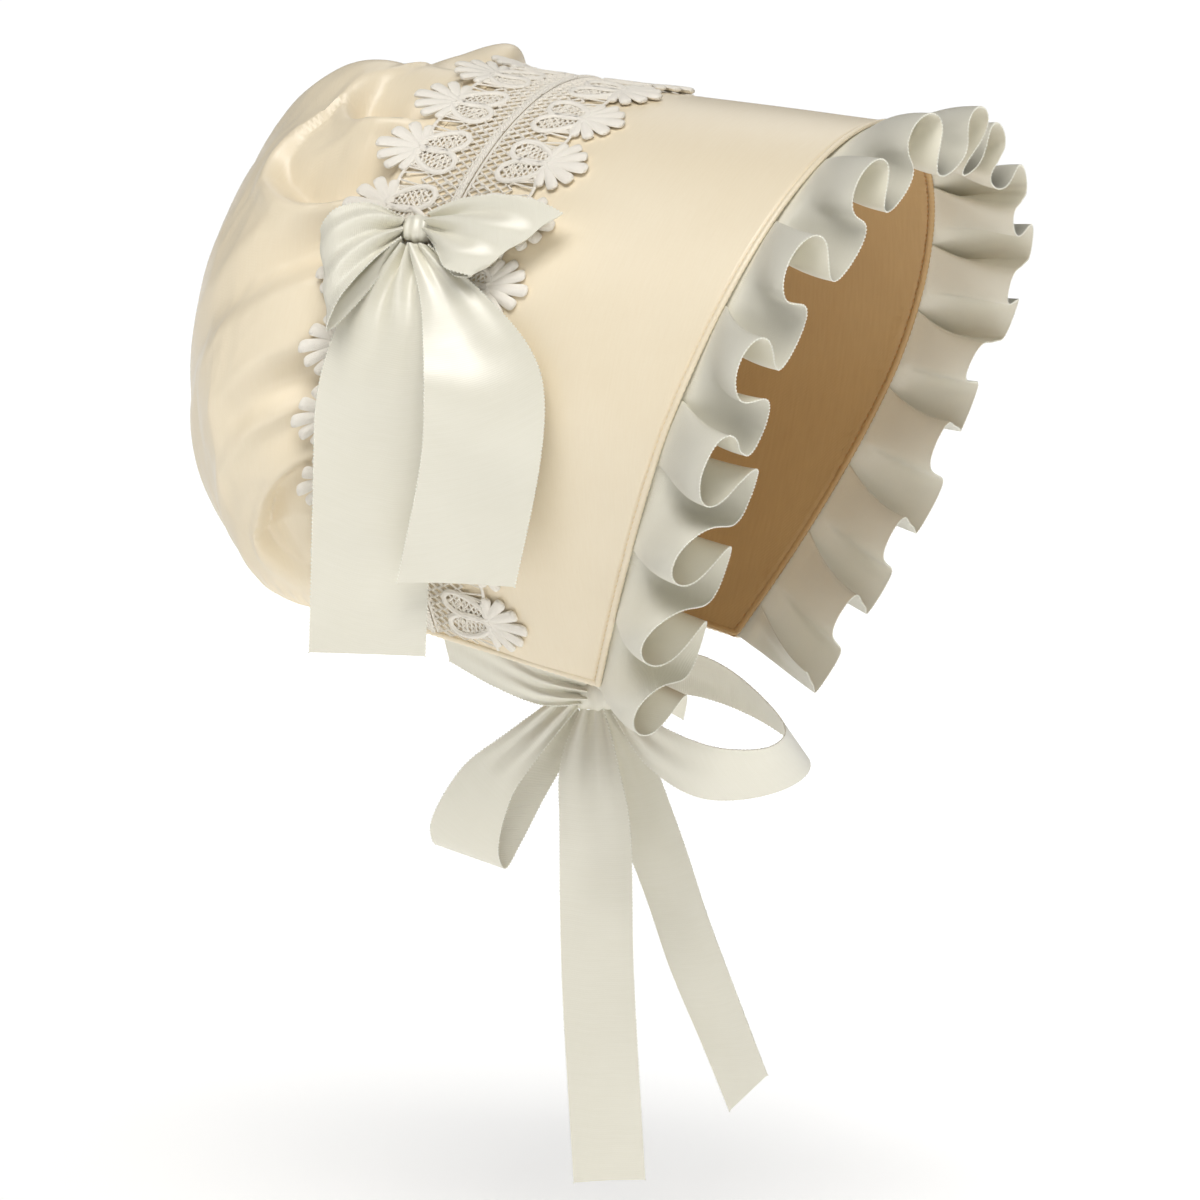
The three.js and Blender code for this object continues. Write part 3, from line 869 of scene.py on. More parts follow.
class GeometryTree:
    """A tree of Geometry Nodes that is run once on an object and leaves a plain mesh."""

    def __init__(self, name: str, inputs: Sequence[tuple[str, str]]) -> None:
        """Makes the tree with its named inputs.

        Args:
            name: Name of the tree.
            inputs: Name and socket type of each input after the geometry.
        """
        self.tree = bpy.data.node_groups.new(name, "GeometryNodeTree")
        self.tree.interface.new_socket("Geometry", in_out="INPUT", socket_type="NodeSocketGeometry")
        self.keys = {
            label: self.tree.interface.new_socket(label, in_out="INPUT", socket_type=kind).identifier
            for label, kind in inputs
        }
        self.tree.interface.new_socket("Geometry", in_out="OUTPUT", socket_type="NodeSocketGeometry")
        self.graph = Graph(self.tree)
        self.inputs = self.graph.node("NodeGroupInput").outputs

    def finish(self, geometry: bpy.types.NodeSocket) -> None:
        """Ends the tree in real, smooth faces with the material of its input.

        Args:
            geometry: The socket that holds the tree's result.
        """
        real = self.graph.node("GeometryNodeRealizeInstances", None, {0: geometry})
        soft = self.graph.node("GeometryNodeSetShadeSmooth", None, {0: real.outputs[0]})
        links = {"Geometry": soft.outputs[0], "Material": self.inputs["Material"]}
        dressed = self.graph.node("GeometryNodeSetMaterial", None, links)
        self.graph.node("NodeGroupOutput", None, {0: dressed.outputs[0]})

    def run(self, base: bpy.types.Object, name: str, values: dict[str, object]) -> bpy.types.Object:
        """Runs the tree on an object and replaces the object by the plain mesh that comes out.

        Args:
            base: The object that the tree works on, which is removed.
            name: Name of the new piece.
            values: The tree's inputs by name.

        Returns:
            The new piece.
        """
        modifier = base.modifiers.new(name, "NODES")
        modifier.node_group = self.tree
        for label, value in values.items():
            modifier[self.keys[label]] = value
        graph = bpy.context.evaluated_depsgraph_get()
        mesh = bpy.data.meshes.new_from_object(base.evaluated_get(graph))
        base.modifiers.remove(modifier)
        bpy.data.objects.remove(base)
        mesh.name = name
        return linked(name, mesh)


class BeadLine(GeometryTree):
    """Small even beads of thread along lines: stitches, or the looped edge of a ribbon."""

    def __init__(self) -> None:
        """Builds the tree."""
        super().__init__(
            "beads_along_lines",
            [
                ("Pitch", "NodeSocketFloat"),
                ("Bead", "NodeSocketVector"),
                ("Spread", "NodeSocketFloat"),
                ("Material", "NodeSocketMaterial"),
            ],
        )
        graph, inputs = self.graph, self.inputs
        line = graph.node("GeometryNodeMeshToCurve", None, {0: inputs["Geometry"]})
        spots = graph.node(
            "GeometryNodeCurveToPoints",
            {"mode": "LENGTH"},
            {"Curve": line.outputs[0], "Length": inputs["Pitch"]},
        )
        ball = graph.node("GeometryNodeMeshUVSphere", None, {"Segments": 6, "Rings": 4, "Radius": 1.0})
        bead = graph.node(
            "GeometryNodeTransform", None, {"Geometry": ball.outputs[0], "Scale": inputs["Bead"]}
        )
        turn = graph.node(
            "FunctionNodeAlignRotationToVector", {"axis": "X"}, {"Vector": spots.outputs["Tangent"]}
        )
        least = Value(graph, inputs["Spread"]) * -1.0 + 1.0
        most = Value(graph, inputs["Spread"]) + 1.0
        size = graph.node(
            "FunctionNodeRandomValue", {"data_type": "FLOAT"}, {2: least, 3: most, "Seed": SEED}
        )
        beads = graph.node(
            "GeometryNodeInstanceOnPoints",
            None,
            {
                "Points": spots.outputs["Points"],
                "Instance": bead.outputs[0],
                "Rotation": turn.outputs[0],
                "Scale": size.outputs[1],
            },
        )
        self.finish(beads.outputs[0])

    def sew(self, name: str, lines: Sequence[Array], pitch: float, bead: tuple[float, float, float],
            material: bpy.types.Material, spread: float = 0.1) -> bpy.types.Object:
        """Sews beads along lines.

        Args:
            name: Name of the piece.
            lines: Lines of points in millimetres.
            pitch: Distance from bead to bead.
            bead: Half sizes of a bead along the line and across it.
            material: The thread's finish.
            spread: How much the beads differ in size.

        Returns:
            The piece.
        """
        values = {
            "Pitch": pitch * MM,
            "Bead": [size * MM for size in bead],
            "Spread": spread,
            "Material": material,
        }
        return self.run(polyline_object(name + "_lines", lines), name, values)


class LaceOnCloth(GeometryTree):
    """Repeats of a flat lace motif, laid along a curved band by the band's own map."""

    def __init__(self) -> None:
        """Builds the tree."""
        super().__init__(
            "lace_on_cloth",
            [
                ("Motif", "NodeSocketObject"),
                ("Repeats", "NodeSocketInt"),
                ("Repeat", "NodeSocketFloat"),
                ("Width", "NodeSocketFloat"),
                ("Material", "NodeSocketMaterial"),
            ],
        )
        graph, inputs = self.graph, self.inputs
        motif = graph.node("GeometryNodeObjectInfo", None, {"Object": inputs["Motif"]})
        repeat = Value(graph, inputs["Repeat"])
        step = graph.node("ShaderNodeCombineXYZ", None, {0: repeat})
        start = graph.node("ShaderNodeCombineXYZ", None, {0: repeat * 0.5})
        spots = graph.node(
            "GeometryNodeMeshLine",
            {"mode": "OFFSET"},
            {"Count": inputs["Repeats"], "Start Location": start.outputs[0], "Offset": step.outputs[0]},
        )
        laid = graph.node(
            "GeometryNodeInstanceOnPoints",
            None,
            {"Points": spots.outputs[0], "Instance": motif.outputs["Geometry"]},
        )
        strip = graph.node("GeometryNodeRealizeInstances", None, {0: laid.outputs[0]})
        flat = graph.node("GeometryNodeInputPosition")
        parts = graph.node("ShaderNodeSeparateXYZ", None, {0: flat.outputs[0]})
        length = repeat * Value(graph, inputs["Repeats"])
        along = Value(graph, parts.outputs[0]).math("DIVIDE", length).kept_inside()
        sideways = Value(graph, parts.outputs[1]).math("DIVIDE", Value(graph, inputs["Width"]))
        across = (sideways + 0.5).kept_inside()
        spot = graph.node("ShaderNodeCombineXYZ", None, {0: along, 1: across})
        cloth_map = self.attribute(CLOTH_MAP)
        sample = {"UV Map": cloth_map, "Sample UV": spot.outputs[0], "Mesh": inputs["Geometry"]}
        ground = self.sampled(graph.node("GeometryNodeInputPosition").outputs[0], sample)
        lie = self.sampled(self.attribute(LIE), sample)
        lift = graph.node(
            "ShaderNodeVectorMath", {"operation": "SCALE"}, {0: lie, "Scale": parts.outputs[2]}
        )
        there = graph.node("ShaderNodeVectorMath", {"operation": "ADD"}, {0: ground, 1: lift.outputs[0]})
        moved = graph.node(
            "GeometryNodeSetPosition", None, {"Geometry": strip.outputs[0], "Position": there.outputs[0]}
        )
        self.finish(moved.outputs[0])

    def attribute(self, name: str) -> bpy.types.NodeSocket:
        """A vector that the band carries under a name."""
        kind = {"data_type": "FLOAT_VECTOR"}
        return self.graph.node("GeometryNodeInputNamedAttribute", kind, {"Name": name}).outputs[0]

    def sampled(self, field_socket: bpy.types.NodeSocket, sample: dict) -> bpy.types.NodeSocket:
        """A vector of the band at the place on its map.

        Args:
            field_socket: The vector to read.
            sample: The map and the place on it.

        Returns:
            The vector at that place.
        """
        node = self.graph.node(
            "GeometryNodeSampleUVSurface", {"data_type": "FLOAT_VECTOR"}, {"Value": field_socket, **sample}
        )
        return node.outputs[0]


# The crown


@dataclass(frozen=True)
class Pocket:
    """A pocket that a gather leaves in the crown: the cloth drops behind a lip and rises again beyond it.

    The lip's rows are a share of the seam, a run of cloth behind it and the share of the full depth there,
    with the hollow on the right of the lip's way.
    """

    lip: tuple[tuple[float, float, float], ...]
    deep: float
    wide: float
    crest: float
    per_share: float = 258.0
    steep: float = 4.0
    merge: float = 6.0
    fine: int = 6
    drop_start: float = -0.2
    rise_start: float = 0.15
    crest_back: float = 0.5
    crest_half: float = 0.8
    clear_of_seam: tuple[float, float] = (2, 20)

    def mirrored(self, deep: float) -> "Pocket":
        """The same pocket on the other side of the crown, with its own depth."""
        lip = tuple((-share, run, depth) for share, run, depth in reversed(self.lip))
        return Pocket(lip, deep, self.wide, self.crest * deep / self.deep)

    def lift(self, share: Array, run: Array) -> Array:
        """How far it moves the cloth off the smooth crown.

        Args:
            share: Places along the seam.
            run: Lengths of cloth behind it.

        Returns:
            Heights off the crown.
        """
        rows = np.array(self.lip, float)
        rows = read_rows(rows, np.linspace(0, len(rows) - 1, self.fine * len(rows)))
        corners = rows[:, :2] * [self.per_share, 1]
        start, step = corners[:-1], np.diff(corners, axis=0)
        here = np.stack([share * self.per_share, run], axis=-1)[..., None, :]
        part = np.clip(np.sum((here - start) * step, axis=-1) / np.sum(step**2, axis=-1), 0, 1)
        away = here - start - part[..., None] * step
        length = np.linalg.norm(away, axis=-1)
        nearest = np.argmin(length, axis=-1)[..., None]
        turn = away[..., 0] * step[:, 1] - away[..., 1] * step[:, 0]
        inside = np.take_along_axis(length * np.sign(turn), nearest, axis=-1)[..., 0]
        weight = np.exp(-(length - length.min(axis=-1, keepdims=True)) / self.merge)
        depth = rows[:-1, 2] + part * np.diff(rows[:, 2])
        depth = np.sum(depth * weight, axis=-1) / np.sum(weight, axis=-1)
        hollow = smooth(inside, self.drop_start * self.steep, self.steep)
        hollow = hollow * (1 - smooth(inside, self.rise_start * self.wide, self.wide))
        edge = np.exp(-(((inside + self.crest_back * self.steep) / (self.crest_half * self.steep)) ** 2))
        return depth * smooth(run, *self.clear_of_seam) * (self.crest * edge - self.deep * hollow)


TOP_POCKET = Pocket(
    lip=(
        (-0.19, 0, 0.9),
        (-0.2, 14, 1.0),
        (-0.2, 27, 1.0),
        (-0.181, 38, 1.0),
        (-0.152, 45, 0.85),
        (-0.127, 47, 0.55),
        (-0.09, 44, 0.2),
        (-0.05, 38, 0.0),
    ),
    deep=13,
    wide=46,
    crest=2.0,
)
SIDE_POCKET = Pocket(
    lip=(
        (-0.325, 0, 0.9),
        (-0.335, 11, 1.0),
        (-0.343, 23, 1.0),
        (-0.336, 34, 1.0),
        (-0.313, 45, 1.0),
        (-0.27, 58, 0.9),
        (-0.243, 63, 0.6),
        (-0.21, 65, 0.3),
        (-0.185, 60, 0.0),
    ),
    deep=13,
    wide=40,
    crest=1.8,
)
LOW_POCKET = Pocket(
    lip=(
        (-0.885, 16, 0.0),
        (-0.86, 27, 0.3),
        (-0.80, 38, 0.6),
        (-0.745, 44, 0.9),
        (-0.728, 37, 1.0),
        (-0.708, 27, 0.9),
        (-0.7, 15, 0.7),
        (-0.695, 0, 0.5),
    ),
    deep=7,
    wide=28,
    crest=1.4,
)


@dataclass(frozen=True)
class Gather:
    """A soft valley of the crown, or a roll where it stands up, which may lean to the seam."""

    share: float
    wide: float
    deep: float
    start: float
    long: float
    slant: float = 0.0
    peak: float = 0.4
    lean: float = 0.0

    def lift(self, share: Array, run: Array) -> Array:
        """How far it moves the cloth off the smooth crown.

        Args:
            share: Places along the seam.
            run: Lengths of cloth behind it.

        Returns:
            Heights off the crown.
        """
        aside = np.minimum(np.abs(share - self.share - self.slant * run / 100) / self.wide, 1)
        reach = np.maximum(run - self.start, 0) / (self.peak * self.long)
        return -self.deep * (0.5 + 0.5 * np.cos(math.pi * aside)) * reach * np.exp(1 - reach)


@dataclass
class Crown:
    """The full satin crown, gathered into the seam and drawn in at the neck edge."""

    thick: float = 0.8
    columns: int = 360
    rows: int = 120
    fine_run: float = 84.0
    fine_share: float = 0.7
    even_run: float = 30.0
    wave: float = 0.8
    wave_cells: tuple[int, int] = (26, 7)
    ripple: float = 0.22
    ripple_cells: tuple[int, int] = (90, 24)
    free_of_seam: tuple[float, float] = (4, 40)
    free_of_neck: tuple[float, float] = (0, 30)
    neck_gathers: int = 44
    neck_gather_deep: float = 1.6
    neck_gather_long: float = 16
    flat: tuple[float, float] = (0.46, 0.24)
    cut_area: float = 0.084
    pockets: tuple[Pocket, ...] = (
        TOP_POCKET,
        SIDE_POCKET,
        LOW_POCKET,
        SIDE_POCKET.mirrored(8),
        LOW_POCKET.mirrored(5),
    )
    gathers: tuple[Gather, ...] = (
        Gather(share=-0.64, wide=0.05, deep=4, start=0, long=44),
        Gather(share=-0.57, wide=0.05, deep=7, start=0, long=44),
        Gather(share=-0.4, wide=0.055, deep=8, start=0, long=62),
        Gather(share=0.02, wide=0.055, deep=7, start=0, long=30),
        Gather(share=0.125, wide=0.08, deep=-10, start=14, long=22, lean=0.3),
        Gather(share=-0.04, wide=0.1, deep=-5.5, start=42, long=58),
        Gather(share=-0.56, wide=0.15, deep=5, start=60, long=115),
        Gather(share=0.235, wide=0.06, deep=6, start=0, long=40),
        Gather(share=0.43, wide=0.06, deep=6, start=0, long=52),
        Gather(share=0.56, wide=0.06, deep=5, start=0, long=44),
    )

    def row_runs(self, length: Array) -> Array:
        """Runs of the rows behind the seam, close where the folds are.

        Args:
            length: Length of each line of cloth.

        Returns:
            The rows' runs along each line.
        """
        fine = int(self.rows * self.fine_share)
        near = np.minimum(self.fine_run, 0.5 * length) * np.linspace(0, 1, fine)
        far = blend(near[:, -1:], length, np.linspace(0, 1, self.rows - fine + 1)[1:])
        return np.concatenate([near, far], axis=1)

    def grid(self) -> Array:
        """The cloth's points, from foot to foot of the seam and from the seam to the neck edge.

        Returns:
            A grid of points.
        """
        share = even_shares(FORM.crown, self.even_run, self.columns, WHOLE_ARCH)
        curve = FORM.crown_curve(share)
        lengths = runs(curve, axis=1)
        run = self.row_runs(lengths[:, -1:])
        base = np.stack(
            [
                np.stack([np.interp(run[i], lengths[i], curve[i, :, k]) for k in range(3)], axis=-1)
                for i in range(self.columns)
            ]
        )
        base = facing_out(base)
        if base[0, 0, 0] > 0:
            share, run, lengths = share[::-1], run[::-1], lengths[::-1]
        spread = np.broadcast_to(share[:, None], run.shape)
        lift = sum(fold.lift(spread, run) for fold in (*self.pockets, *self.gathers))
        lean = sum(fold.lean * fold.lift(spread, run) for fold in self.gathers)
        to_seam = -unit(np.gradient(base, axis=1))
        to_neck = lengths[:, -1:] - run
        free = smooth(run, *self.free_of_seam) * smooth(to_neck, *self.free_of_neck)
        lift = lift + free * self.wave * soft_noise(run.shape, self.wave_cells, SEED)
        lift = lift + free * self.ripple * soft_noise(run.shape, self.ripple_cells, SEED + 1)
        drawn = 0.5 + 0.5 * np.cos(2 * math.pi * self.neck_gathers * (spread + 1) / 2)
        lift = lift - self.neck_gather_deep * drawn * np.exp(-to_neck / self.neck_gather_long)
        return base + grid_normals(base) * lift[..., None] + to_seam * lean[..., None]

    def build(self, finishes: Finishes) -> None:
        """Makes the crown and seats it.

        Args:
            finishes: The materials.
        """
        piece = shell("crown_cloth", self.grid(), -self.thick, 0, finishes.satin)
        seat(piece, ["crown"])


# The brim and its lining


@dataclass
class Brim:
    """The stiff flared brim: satin outside, lining inside, with a stitched and rolled edge. The lining and
    its thread are painted shade: a tan for the cream satin as it looks in the shade inside the bonnet.
    """

    thick: float = 0.7
    cloth_span: tuple[float, float] = (0, 0.997)
    lining_span: tuple[float, float] = (0.02, 0.995)
    lining_low: float = -2.75
    lining_high: float = -2.2
    columns: int = 260
    rows: int = 30
    edge_rows: int = 16
    edge: float = 0.04
    even_depth: float = 0.6
    wave: float = 0.5
    wave_cells: tuple[int, int] = (14, 4)
    wave_clear: float = 30.0
    line_start: float = 0.03
    hem_inset: float = 0.85
    hem_half: float = 1.15
    hem_height: float = 0.8
    hem_lift: float = 0.0
    hem_puff: float = 0.09
    lining_hem_rise: float = 0.25
    lining_stitch_rise: float = 0.3
    groove_deep: float = 0.55
    groove_half: float = 0.55
    stitch_inset: float = 2.35
    stitch_pitch: float = 2.3
    stitch: tuple[float, float, float] = (0.78, 0.3, 0.26)
    stitch_lift: float = -0.42
    foot_per_share: float = 262.0
    pucker_pitch: float = 4.2
    pucker_deep: float = 0.6
    pucker_long: float = 12.0
    pucker_drift: float = 2.4
    pucker_cells: tuple[int, int] = (60, 1)
    slack: float = 0.6
    slack_cells: tuple[int, int] = (12, 3)
    flat: tuple[float, float] = (0.53, 0.137)
    lining_flat: tuple[float, float] = (0.52, 0.134)

    def grid(self, start: float, end: float) -> tuple[Array, Array]:
        """The brim's points, close together near the rim, and the distance of each one from the rim.

        Args:
            start: The first depth, from 0 at the seam.
            end: The last depth, up to 1 at the rim.

        Returns:
            A grid of points and a grid of distances.
        """
        turn = 1 - self.edge
        depths = np.concatenate(
            [np.linspace(start, turn, self.rows), np.linspace(turn, end, self.edge_rows + 1)[1:]]
        )
        share = even_shares(FORM.brim, self.even_depth, self.columns, WHOLE_ARCH)
        base = facing_out(FORM.brim(share[:, None], depths[None, :]))
        if base[0, 0, 0] > 0:
            share = share[::-1]
        from_rim = FORM.brim_width(share)[:, None] * (1 - depths[None, :])
        return base, from_rim

    def edge_line(self, inset: float, lift: float, count: int = 900) -> tuple[Array, Array]:
        """A line that runs beside the lower edges and the rim, and the directions off the brim along it.

        Args:
            inset: Distance of the line from the edge.
            lift: Height of the line off the brim.
            count: Number of points.

        Returns:
            The line and the directions off the brim.
        """
        foot = WHOLE_ARCH - inset / self.foot_per_share
        deepest = 1 - inset / FORM.brim_width(np.array([0.0, foot]))
        rim_share = even_shares(FORM.brim, 1.0, count, foot)
        rim_depth = 1 - inset / FORM.brim_width(rim_share)
        sides = np.linspace(self.line_start, deepest[1], count // 5)[:-1]
        share = np.concatenate([np.full(sides.shape, -foot), rim_share, np.full(sides.shape, foot)])
        depth = np.concatenate([sides, rim_depth, sides[::-1]])
        off = outward(FORM.brim, share, depth)
        return FORM.brim(share, depth) + off * lift, off

    def hem(self, name: str, lift: float, material: bpy.types.Material) -> bpy.types.Object:
        """A rolled edge, drawn in a little at each stitch.

        Args:
            name: Its name.
            lift: Its height off the brim.
            material: Its finish.

        Returns:
            The piece.
        """
        line, off = self.edge_line(self.hem_inset, lift)
        puff = 1 + self.hem_puff * np.cos(2 * math.pi * runs(line) / self.stitch_pitch)
        roll = Threads()
        roll.add(line, self.hem_half * puff, off, sides=10, flat=self.hem_height / self.hem_half)
        return roll.piece(name, material)

    def groove(self, from_rim: Array) -> Array:
        """How deep the row of stitches pulls the cloth in."""
        return self.groove_deep * np.exp(-(((from_rim - self.stitch_inset) / self.groove_half) ** 2))

    def build_cloth(self, finishes: Finishes, stitches: BeadLine) -> None:
        """Makes the outer satin with its hem and topstitching.

        Args:
            finishes: The materials.
            stitches: The tree that sews.
        """
        base, from_rim = self.grid(*self.cloth_span)
        waves = soft_noise(base.shape[:2], self.wave_cells, SEED + 2)
        lift = self.wave * waves * smooth(from_rim, 0, self.wave_clear) - self.groove(from_rim)
        points = base + grid_normals(base) * lift[..., None]
        cloth = shell("brim_cloth", points, -self.thick, 0, finishes.satin)
        seat(cloth, ["brim"])
        hem = seat(self.hem("brim_hem", self.hem_lift, finishes.satin))
        line, _ = self.edge_line(self.stitch_inset, self.stitch_lift)
        sewn = stitches.sew("brim_stitches", [line], self.stitch_pitch, self.stitch, finishes.sewing)
        seat(sewn)

    def build_lining(self, finishes: Finishes, stitches: BeadLine) -> None:
        """Makes the lining, puckered where it is sewn to the rim.

        Args:
            finishes: The materials.
            stitches: The tree that sews.
        """
        base, from_rim = self.grid(*self.lining_span)
        length = runs(base, axis=0)
        uneven = soft_noise(base.shape[:2], self.pucker_cells, SEED + 3)
        phase = 2 * math.pi * length / self.pucker_pitch + self.pucker_drift * uneven
        pucker = (0.5 + 0.5 * np.cos(phase)) * np.exp(-from_rim / self.pucker_long)
        slack = self.slack * soft_noise(base.shape[:2], self.slack_cells, SEED + 4) ** 2
        lift = self.pucker_deep * pucker - slack + self.groove(from_rim)
        points = base + grid_normals(base) * lift[..., None]
        # The lining's tan finish is painted shade
        lining = shell("lining_cloth", points, self.lining_low, self.lining_high, finishes.lining)
        seat(lining, ["brim_lining"])
        hem = self.hem("lining_hem", self.lining_low + self.lining_hem_rise, finishes.lining)
        seat(hem)
        line, _ = self.edge_line(self.stitch_inset, self.lining_low + self.lining_stitch_rise)
        thread = finishes.lining_thread
        sewn = stitches.sew("lining_stitches", [line], self.stitch_pitch, self.stitch, thread)
        seat(sewn)

    def build(self, finishes: Finishes, stitches: BeadLine) -> None:
        """Makes the brim and its lining."""
        self.build_cloth(finishes, stitches)
        self.build_lining(finishes, stitches)


# The lace


@dataclass
class LaceMotif:
    """One flat repeat of the guipure lace: on either side of a braid a net, two leaves and a fan of petals.

    The repeat lies along X with its fan in the middle, and the lace's width along Y.
    """

    repeat: float = 24.0
    thread: float = 0.72
    outline: float = 1.05
    ground: float = 0.75
    net_top: float = 17.6
    net_cells: int = 8
    net_rows: int = 6
    net_bold_rows: int = 3
    net_thin: float = 0.45
    net_start: float = 1.7
    net_round: float = 0.25
    net_flat: float = 0.9
    leaf_foot: tuple[float, float] = (6.1, 8.6)
    leaf_tip: tuple[float, float] = (1.5, 25.6)
    leaf_half: float = 4.4
    leaf_swell: float = 0.72
    leaf_round: float = 1.3
    leaf_rise: float = 0.35
    leaf_strands: int = 7
    # Where the first strand of a leaf starts, how far the starts spread and how long a strand is
    strand_span: tuple[float, float, float] = (0.06, 0.74, 0.22)
    strand_reach: float = 0.92
    strand: float = 0.35
    sunk: float = 0.1
    outline_flat: float = 0.85
    fan_base: tuple[float, float] = (0.0, 23.6)
    # Petals of a fan: angle from the middle, length and radius at the tip
    petals: tuple[tuple[float, float, float], ...] = (
        (-74, 10.2, 1.85),
        (-48, 13.0, 2.05),
        (-23.5, 14.4, 2.2),
        (0, 16.2, 2.3),
        (23.5, 14.4, 2.2),
        (48, 13.0, 2.05),
        (74, 10.2, 1.85),
    )
    petal_start: float = 1.4
    # A petal's radius along it: share of its length and share of its full radius
    petal_form: tuple[tuple[float, float], ...] = (
        (0, 0.66),
        (0.25, 0.74),
        (0.5, 0.86),
        (0.7, 0.95),
        (0.84, 1.0),
        (0.93, 0.93),
        (0.98, 0.7),
        (1.0, 0.25),
    )
    petal_rise: tuple[float, float] = (0.3, 0.25)
    petal_flat: float = 0.5
    cord: float = 0.6
    cord_foot: float = 20.3
    cord_top: tuple[float, float] = (4.6, 25.4)
    cord_rise: float = 0.2
    bars: int = 5
    bar: float = 0.38
    # Where the first bar leaves the leaf, how far apart the bars are there and on the cord
    bar_span: tuple[float, float, float] = (0.62, 0.13, 1.6)
    braid: float = 0.62
    braid_pitch: float = 3.0
    braid_half: float = 0.55
    braid_rise: tuple[float, float] = (0.45, 0.35)
    braid_edge: float = 1.75
    braid_edge_thread: float = 0.5

    def flat(self, along: Array, across: Array, height: Array | float = 0.0) -> Array:
        """Points of the flat lace."""
        parts = np.broadcast_arrays(np.asarray(along, float), np.asarray(across, float), height)
        return np.stack(parts, axis=-1)

    def leaf_half_at(self, share: Array) -> Array:
        """Half the breadth of a leaf from its round foot to its tip."""
        swell = np.sqrt(np.maximum(np.sin(math.pi * share**self.leaf_swell), 0))
        return self.leaf_half * swell**self.leaf_round

    def leaf_point(self, side: float, share: Array, aside: Array) -> Array:
        """Points in a leaf, by share of its length and distance from its rib.

        Args:
            side: Which of the two leaves, -1 or 1.
            share: Shares of its length.
            aside: Distances from its rib.

        Returns:
            A point at each place.
        """
        foot = np.array([side * self.leaf_foot[0], self.leaf_foot[1]])
        tip = np.array([side * self.leaf_tip[0], self.leaf_tip[1]])
        rib = unit(tip - foot)
        across = np.array([-rib[1], rib[0]])
        spot = foot + np.multiply.outer(share, tip - foot) + np.multiply.outer(aside, across)
        return self.flat(spot[..., 0], spot[..., 1])

    def add_leaf(self, threads: Threads, mirror: Array, side: float) -> None:
        """Adds a leaf's outline, its inner rib line and the net that fills it.

        Args:
            threads: Where the threads are gathered.
            mirror: Turns the repeat to one side of the braid.
            side: Which of the two leaves, -1 or 1.
        """
        share = np.linspace(0, 1, 15)
        half = self.leaf_half_at(share)
        left = self.leaf_point(side, share, half)
        right = self.leaf_point(side, share[-2:0:-1], -half[-2:0:-1])
        outline = np.concatenate([left, right]) + [0, 0, self.ground + self.leaf_rise]
        threads.add(outline * mirror, self.outline, UP, flat=self.outline_flat, closed=True)
        first, spread, long = self.strand_span
        for k in range(self.leaf_strands):
            low = first + spread * k / self.leaf_strands
            for way in (-1, 1):
                spots = np.linspace(low, low + long, 5)
                reach = np.linspace(-self.strand_reach, self.strand_reach, 5)
                aside = way * reach * self.leaf_half_at(spots)
                strand = self.leaf_point(side, spots, aside) + [0, 0, self.ground - self.sunk]
                threads.add(strand * mirror, self.strand, UP, sides=4)

    def add_fan(self, threads: Threads, mirror: Array) -> None:
        """Adds the fan of petals, each thick and round at its tip.

        Args:
            threads: Where the threads are gathered.
            mirror: Turns the repeat to one side of the braid.
        """
        base = np.array(self.fan_base)
        share, size = np.array(self.petal_form).T
        height = self.ground + self.petal_rise[0] + self.petal_rise[1] * np.sin(math.pi * share)
        for angle, length, radius in self.petals:
            turn = math.radians(angle)
            way = np.array([math.sin(turn), math.cos(turn)])
            reach = self.petal_start + share * (length - self.petal_start)
            spots = base + np.multiply.outer(reach, way)
            path = self.flat(spots[:, 0], spots[:, 1], height)
            threads.add(path * mirror, radius * size, UP, sides=7, flat=self.petal_flat)
        for side in (-1, 1):
            self.add_cord(threads, mirror, side)

    def add_cord(self, threads: Threads, mirror: Array, side: float) -> None:
        """Adds the cord from a fan to the next one, with the bars that tie it to the leaf.

        Args:
            threads: Where the threads are gathered.
            mirror: Turns the repeat to one side of the braid.
            side: Which of the two leaves, -1 or 1.
        """
        angle = np.linspace(0.05, 1, 9) * math.pi * 0.5
        inner = np.array([side * self.repeat / 2, self.cord_foot])
        start = np.array([side * self.cord_top[0], self.cord_top[1]])
        spots = inner + (start - inner) * np.stack([np.cos(angle), np.sin(angle)], axis=-1)
        cord = self.flat(spots[:, 0], spots[:, 1], self.ground + self.cord_rise)
        threads.add(cord * mirror, self.cord, UP, sides=6, flat=self.outline_flat)
        first, apart, cord_apart = self.bar_span
        for k in range(self.bars):
            share = np.array([first - apart * k])
            leaf = self.leaf_point(side, share, -side * self.leaf_half_at(share))[0]
            end = cord[1 + int(k * cord_apart)]
            strand = np.linspace(leaf + [0, 0, self.ground], end, 3)
            threads.add(strand * mirror, self.bar, UP, sides=4)

    def add_net(self, threads: Threads, mirror: Array) -> None:
        """Adds the net beside the braid, which thins out between the leaves.

        Args:
            threads: Where the threads are gathered.
            mirror: Turns the repeat to one side of the braid.
        """
        count = 2 * self.net_cells
        along = np.linspace(-self.repeat / 2, self.repeat / 2, count + 1)
        tall = (self.net_top - self.net_start) / self.net_rows
        for row in range(self.net_rows):
            tooth = (np.arange(count + 1) + row) % 2
            across = self.net_start + tall * (row + tooth)
            across = across + np.where(tooth > 0, -self.net_round, self.net_round)
            line = self.flat(along, across, self.ground - self.sunk)
            size = self.thread if row < self.net_bold_rows else self.net_thin
            threads.add(line * mirror, size, UP, sides=4, flat=self.net_flat)

